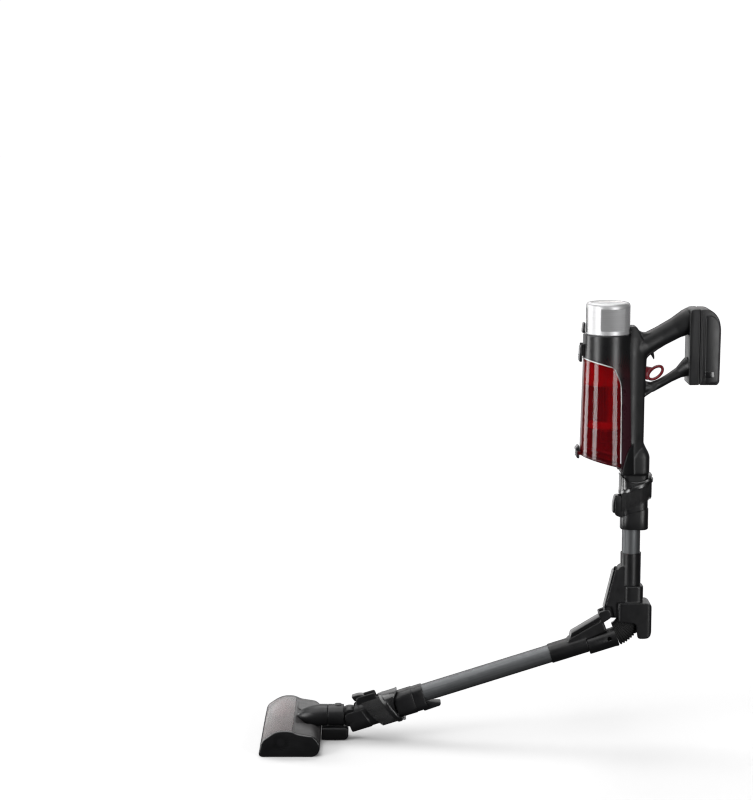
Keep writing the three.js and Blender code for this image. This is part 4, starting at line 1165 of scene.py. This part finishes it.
def make_wand_end():
    fitting = column(-19, 32, 20, 15, [
        (2, -60), (0.6, -59.4), (0, -58), (0, -23), (0.4, -22), (0.9, -21.6), (0.9, -2), (1.4, -0.6),
        (2.6, 0)])
    lobe = slab([(18.6, -9), (33, -9, 2), (32, 25, 2.5), (26.5, 27.5, 2), (18.6, 3)], -12, 12, 1.4)
    spigot = bar((0, 0, -116), (0, 0, -50), 16)
    seat = bar((0, 0, -24), (0, 0, 10), TUBE_R + 0.4)
    slot = box(30.6, 40, -7, 7, 6, 8)
    bore = bar((0, 0, -70), (0, 0, 10), 14)
    return joined(cut(fitting, seat, bore), cut(lobe, slot), spigot)


def make_fold_cover():
    return slab([(16, -80, 3), (0, -14.5, 4), (8.5, -19, 2), (24, -85, 2)], -13, 13, 1.6)


def add_wand():
    place(make_collar(), "wand_collar_shell", UPPER_MOUTH, "upper_wand", SATIN, "wand_collar")
    place(make_button(-88, -53), "wand_release", UPPER_MOUTH, "wand_button", GLOSS, "wand_button",
          "gloss_black")
    place(make_tube(101, 184), "tube_upper", UPPER, "upper_wand", UPPER_TUBE, "upper_tube", "tube_metal")
    place(make_upper_housing(), "fold_housing_upper", UPPER, "upper_wand", SATIN, "flex_upper_housing")
    place(make_knuckle(), "fold_knuckle", UPPER, "upper_wand", SATIN, "flex_knuckle", sharp=SOFT_ANGLE)
    place(make_lever(), "fold_lever", UPPER, "flex_lever", GLOSS, "flex_lever", "gloss_black")
    add_hose()
    place(make_barrel(), "fold_barrel", LOWER, "lower_wand", SATIN, "flex_barrel")
    place(make_lower_housing(), "fold_housing_lower", LOWER, "lower_wand", SATIN, "flex_lower_housing")
    place(make_fold_cover(), "fold_cover", LOWER, "lower_wand", GLOSS, "flex_cover", "gloss_black")
    place(make_tube(-422, -109), "tube_lower", LOWER, "lower_wand", LOWER_TUBE, "lower_tube", "tube_metal")
    place(make_wand_end(), "wand_end_shell", LOWER_END, "lower_wand", SATIN, "wand_end")


# Floor head


def make_head_shell():
    """The rear cover, with a valley in the middle and a hollow on each side of it."""
    whole = slab(HEAD_SIDE, -INNER, INNER, steps=10)
    shell = common(whole, box(WINDOW_X, -40, -HALF, HALF, 6.6, 60))
    corners = [(-109, 60), (-109, 47.6, 1), (-98, 41, 8), (-80, 26, 14), (-50, 25.5), (-50, 60)]
    valley_side = rounded(corners, 8)
    wide, narrow = VALLEY_HALF, VALLEY_HALF - 16
    rings = [[(x, side * (narrow if z < 44 else wide), z) for x, z in valley_side] for side in (-1, 1)]
    shell = cut(shell, skin(rings))
    room = [(-109, 9), (-109, 43.5), (-71, 36.5, 4), (-62, 24, 4), (-69, 9)]
    ends = both_sides(lambda s: slab(room, s * 54, s * (INNER + 1)))
    return eased(cut(shell, *ends), 1.2)


def make_fairing():
    """The tongue in the valley, swelling into the pipe that the neck turns in."""
    path = []
    radii = []
    for i in range(25):
        t = i / 24
        path.append((-107 + 47 * t, 0, 42.5 + 5 * t ** 0.7))
        radii.append(NECK_R * (0.16 + 0.84 * math.sin(math.pi / 2 * t) ** 0.5))
    cone = tube_along(path, radii, 48)
    ring = bar((-62.2, 0, NECK_Z), (-45, 0, NECK_Z), NECK_R)
    skirt = slab([(-88, 30, 6), (-58, 26.6), (-56, 44), (-88, 44, 6)], -14, 14, 5)
    shape = melted(0.8, 5, cone, ring, skirt)
    below = slab([
        (-125, 0), (-125, 60), (-104.5, 44.6), (-80, 26.8, 6), (-30, 26.4), (-30, 0)], -60, 60)
    spigot = bar((-64, 0, NECK_Z), (-40, 0, NECK_Z), 15.5)
    end = box(-44.9, -30, -40, 40, 0, 90)
    return cut(shape, below, spigot, end)


def make_window():
    outer = slab(HEAD_SIDE, -INNER, INNER, steps=10)
    shell = common(outer, box(-180, WINDOW_X - 0.4, -HALF, HALF, 30.5, 60))
    room = slab([(-176, 4), (-169, 31, 8), (-142, 49.2, 18), (-100, 49.2), (-100, 4)], -HALF, HALF, steps=10)
    return eased(cut(shell, room), 0.4)


def make_head_base():
    sole = slab([(-177, 3, 2), (-177, 6), (-68, 6), (-73, 0, 3), (-172, 0, 4)], -INNER, INNER)
    mouth = box(ROLLER_X - 26, ROLLER_X + 24, -INNER + 1, INNER - 1, -5, 12)
    bumper = slab([(-178, 4, 2), (-172.4, 30.2, 1), (-168, 30.2, 1), (-172, 4)], -INNER, INNER, 0.5)
    teeth = [box(-174, -168, y - 2, y + 2, 0, 3, 0.5) for y in range(-108, 109, 12)]
    return joined(cut(sole, mouth), bumper, *teeth)


def vent_slot(turn, y0, y1):
    """One curved slot of the end cap's vent swirl, as a cutting shape."""
    centre_x, centre_z = -134, 29
    inner, outer, width, sweep = 8.0, 17.0, 1.5, math.radians(42)
    near, far = [], []
    for i in range(7):
        t = i / 6
        r = inner + (outer - inner) * t
        angle = turn + sweep * t
        half = width / 2 / r * (1.1 - 0.5 * t)
        for side, points in ((-half, near), (half, far)):
            points.append((centre_x + r * math.cos(angle + side), centre_z + r * math.sin(angle + side)))
    return prism(near + far[::-1], y0, y1)


def on_roller_axis(y0, y1, radius):
    return bar((ROLLER_X, y0, ROLLER_Z), (ROLLER_X, y1, ROLLER_Z), radius)


def make_end_cap(side):
    """A gloss cap with a swirl of slots outside and a stub for the roller inside."""
    outer, inner = side * HALF, side * (HALF - CAP_THICKNESS)
    cap = eased(slab(HEAD_SIDE, outer, inner, steps=10), 1.8, 4)
    deep = side * (HALF - 2.4)
    reach = side * (HALF + 3)
    slots = [vent_slot(turn, deep, reach) for turn in turns(12)]
    cap = eased(cut(cap, joined(*slots)), 0.3, 2)
    return joined(cap, on_roller_axis(inner + side, inner - side * 9, 5))


def make_roller():
    """The spinning brush: pile laid in four spiral bands."""
    segments, rows = 96, 150
    length = 2 * INNER - 8
    rings = []
    for row in range(rows + 1):
        y = -INNER + 2 + length * row / rows
        ring = []
        for angle in turns(segments):
            wave = math.sin(4 * angle + math.tau * y / 90)
            r = ROLLER_R - 1.6 + 1.2 * max(wave, -0.4) + random.uniform(-0.3, 0.3)
            ring.append((ROLLER_X + r * math.cos(angle), y, ROLLER_Z + r * math.sin(angle)))
        rings.append(ring)
    pulley = on_roller_axis(INNER - 7, INNER - 0.6, 9.6)
    bores = both_sides(lambda s: on_roller_axis(s * (INNER - 12), s * (INNER + 5), 5.4))
    return cut(joined(skin(rings), pulley), *bores)


def make_carriage():
    block = slab([(-56.6, 25.6), (-5, 25.6, 4), (-3.5, 8, 5), (-9, 1.5, 4), (-56.6, 1.5)], -21, 21, 2.6)
    tray = bar((-70, 0, NECK_Z), (20, 0, NECK_Z), NECK_R + 0.5)
    wells = both_sides(lambda s: box(-39.5, -20.5, s * 12 - 5, s * 12 + 5, -5, 18))
    grooves = both_sides(lambda s: box(-44, -12, s * 21 - 0.8, s * 21 + 0.8, 14.2, 15.2))
    return cut(block, tray, *wells, *grooves)


def make_wheel(y):
    tyre = eased(bar((-30, y - 4, 8), (-30, y + 4, 8), 8, segments=64), 0.9)
    groove = lathe([(7.5, -0.25), (8.6, -0.25), (8.6, 0.25), (7.5, 0.25)], closed=True, segments=64)
    groove.data.transform(Matrix.Translation((-30, y, 8)) @ Matrix.Rotation(math.pi / 2, 4, "X"))
    return cut(tyre, groove)


def ball_profile(radius, start, centre=0.0):
    """A half circle from start degrees off the bottom to as far off the top, for a lathe."""
    angles = [math.radians(start + (180 - 2 * start) * i / 24) for i in range(25)]
    return [(radius * math.sin(a), centre - radius * math.cos(a)) for a in angles]


def make_neck():
    """The barrel that turns in the head, and the ball that pitches in the collar."""
    barrel = bar((-44.6, 0, NECK_Z), (-13, 0, NECK_Z), NECK_R)
    ball = lathe(ball_profile(NECK_R, 6), segments=64)
    ball.data.transform(Matrix.Translation((0, 0, PITCH_Z)))
    ball = common(ball, box(-30, 30, -14, 14, 0, 90))
    ring_groove = lathe([(NECK_R - 0.7, -0.5), (NECK_R + 3, -0.5), (NECK_R + 3, 0.5), (NECK_R - 0.7, 0.5)],
                        closed=True)
    ring_groove.data.transform(Matrix.Translation((-36, 0, NECK_Z)) @ Matrix.Rotation(math.pi / 2, 4, "Y"))
    shape = melted(0.7, 3, barrel, ball)
    shape = cut(shape, ring_groove, bar((0, -25, PITCH_Z), (0, 25, PITCH_Z), 3.3))
    knob = eased(bar((-24, 0, 60), (-24, 0, NECK_Z + NECK_R + 1.2), 8, 7), 0.7)
    spigot = bar((-62, 0, NECK_Z), (-40, 0, NECK_Z), 15)
    return joined(shape, knob, spigot)


def neck_room(degrees):
    """The space that the neck takes when pitched by that many degrees, in the brush's frame."""
    turn = BEND - math.radians(degrees)
    lift = NECK_Z - PITCH_Z
    x = -math.sin(turn) * lift
    z = -PIVOT_BELOW_BRUSH + math.cos(turn) * lift
    return bar((x, 0, z), (x - math.cos(turn) * 60, 0, z - math.sin(turn) * 60), NECK_R + 0.8)


def make_head_collar():
    room = lathe(ball_profile(NECK_R * 1.04, 4, -PIVOT_BELOW_BRUSH), segments=64)
    shape = cut(melted(0.85, 3, make_collar()), room, *[neck_room(d) for d in (-12, 10, 32, 58)])
    z = -PIVOT_BELOW_BRUSH
    arm_side = [(-10, z - 10, 10), (10, z - 10, 10), (10, z + 34), (-10, z + 34)]
    arms = both_sides(lambda s: slab(arm_side, s * 17 - 2.5, s * 17 + 2.5, 0.8))
    return joined(shape, *arms)


def add_head():
    place(make_head_collar(), "head_collar_shell", LOWER_BRUSH, "head_collar", SATIN, "head_collar",
          sharp=SOFT_ANGLE)
    place(make_button(-97, -76, 4), "head_release", LOWER_BRUSH, "head_button", GLOSS, "head_button",
          "gloss_black")
    place(make_neck(), "neck_shell", HEAD, "neck", SATIN, "neck_barrel", sharp=SOFT_ANGLE)
    place(make_fairing(), "fairing_shell", HEAD, "head", SATIN, "head_fairing", sharp=SOFT_ANGLE)
    place(make_head_shell(), "head_cover", HEAD, "head", GREY, "head_shell", "grey_plastic")
    place(make_window(), "window_pane", HEAD, "head", SMOKED, "head_window", "smoked_clear")
    place(make_head_base(), "base_plate", HEAD, "head", SATIN, "head_base")
    for side, name in SIDES:
        place(make_end_cap(side), f"end_plate_{name}", HEAD, "head", GLOSS, f"end_cap_{name}", "gloss_black")
        place(make_wheel(side * 12), f"tyre_{name}", HEAD, f"wheel_{name}", RUBBER, f"wheel_{name}", "rubber")
    place(make_roller(), "roller_pile", HEAD, "roller", PILE, "roller_brush", "roller", math.pi)
    place(make_carriage(), "carriage_shell", HEAD, "head", SATIN, "wheel_carriage")


def paint_inner_nodes():
    """Inner pieces keep their CAD shape and get their real finish."""
    finishes = {
        STEEL: ("motor", "lid_pin", "roller_motor"),
        SATIN: ("impeller", "inlet_duct", "trigger_pin", "flex_pin", "pitch_pin"),
        RUBBER: ("lid_seal", "drive_belt"),
        filter_foam(): ("prefilter",),
        pleated_paper(): ("exhaust_filter",),
        circuit_board(): ("control_board",),
        cell_wrap(): ("battery_cells",),
    }
    for material, names in finishes.items():
        for name in names:
            slots = frame["nodes"][name].data.materials
            slots.clear()
            slots.append(material)


# Studio


def add_floor():
    """A floor that only catches the shadow, so the backdrop stays white."""
    bpy.ops.mesh.primitive_plane_add(size=80)
    floor = bpy.context.object
    floor.name = "floor"
    paint = Paint("pale_floor", 0.9)
    paint.tones(paint.noise(3, 2), (0.90, 0.90, 0.90), (0.92, 0.92, 0.92))
    floor.data.materials.append(paint.material)
    floor.is_shadow_catcher = True
    floor.visible_glossy = False
    floor.visible_diffuse = False
    floor.visible_transmission = False


def add_panel_light(name, at, width, height, energy):
    """A softbox turned towards the object."""
    data = bpy.data.lights.new(name, "AREA")
    data.shape = "RECTANGLE"
    data.size = width
    data.size_y = height
    data.energy = energy
    lamp = bpy.data.objects.new(name, data)
    lamp.location = at
    lamp.rotation_euler = (LIT_POINT - lamp.location).to_track_quat("-Z", "Y").to_euler()
    lamp.visible_transmission = False
    scene.collection.objects.link(lamp)


def add_strip_light(name, azimuth, width, height, energy):
    """An upright softbox round the object; azimuth 0 is at the camera and 90 at +X."""
    turn = math.radians(azimuth)
    distance = 2.6
    at = (LIT_POINT.x + math.sin(turn) * distance, -math.cos(turn) * distance, 0.75)
    add_panel_light(name, at, width, height, energy)


def add_world():
    """A backdrop that the camera sees as white but that lights the object only faintly."""
    world = bpy.data.worlds.new("studio")
    world.use_nodes = True
    scene.world = world
    tree = world.node_tree
    background = tree.nodes["Background"]
    background.inputs["Color"].default_value = (1, 1, 1, 1)
    backdrop = tree.nodes.new("ShaderNodeMapRange")
    backdrop.inputs["To Min"].default_value = ROOM_GLOW
    backdrop.inputs["To Max"].default_value = BACKDROP_WHITE
    seen = tree.nodes.new("ShaderNodeLightPath")
    tree.links.new(seen.outputs["Is Camera Ray"], backdrop.inputs["Value"])
    tree.links.new(backdrop.outputs["Result"], background.inputs["Strength"])


def add_lights():
    sun = bpy.data.lights.new("overhead", "SUN")
    sun.energy = 2.0
    sun.angle = math.radians(55)
    lamp = bpy.data.objects.new("overhead", sun)
    lamp.rotation_euler = (math.radians(14), math.radians(-10), 0)
    scene.collection.objects.link(lamp)
    add_strip_light("left_softbox", -57, 0.95, 2.0, 62)
    add_strip_light("right_softbox", 34, 0.9, 2.0, 50)
    add_strip_light("rim_softbox", -112, 1.1, 2.2, 60)
    add_panel_light("top_softbox", (-0.3, 1.3, 2.6), 2.2, 1.6, 45)
    add_panel_light("back_softbox", (0.1, 3.4, 0.9), 5.0, 3.0, 45)


def add_camera():
    data = bpy.data.cameras.new("camera")
    data.lens = CAMERA_LENS
    data.sensor_width = 36
    camera = bpy.data.objects.new("camera", data)
    camera.location = CAMERA_AT
    camera.rotation_euler = (math.radians(90 - CAMERA_DOWN), 0, 0)
    scene.collection.objects.link(camera)
    scene.camera = camera
    scene.view_settings.view_transform = "Standard"


add_camera()
add_world()
add_lights()
add_floor()
add_drum_and_canister()
add_body_and_battery()
add_brush(HANDHELD, "handheld", "upper")
add_wand()
add_brush(LOWER_BRUSH, "lower_wand", "lower")
add_head()
paint_inner_nodes()
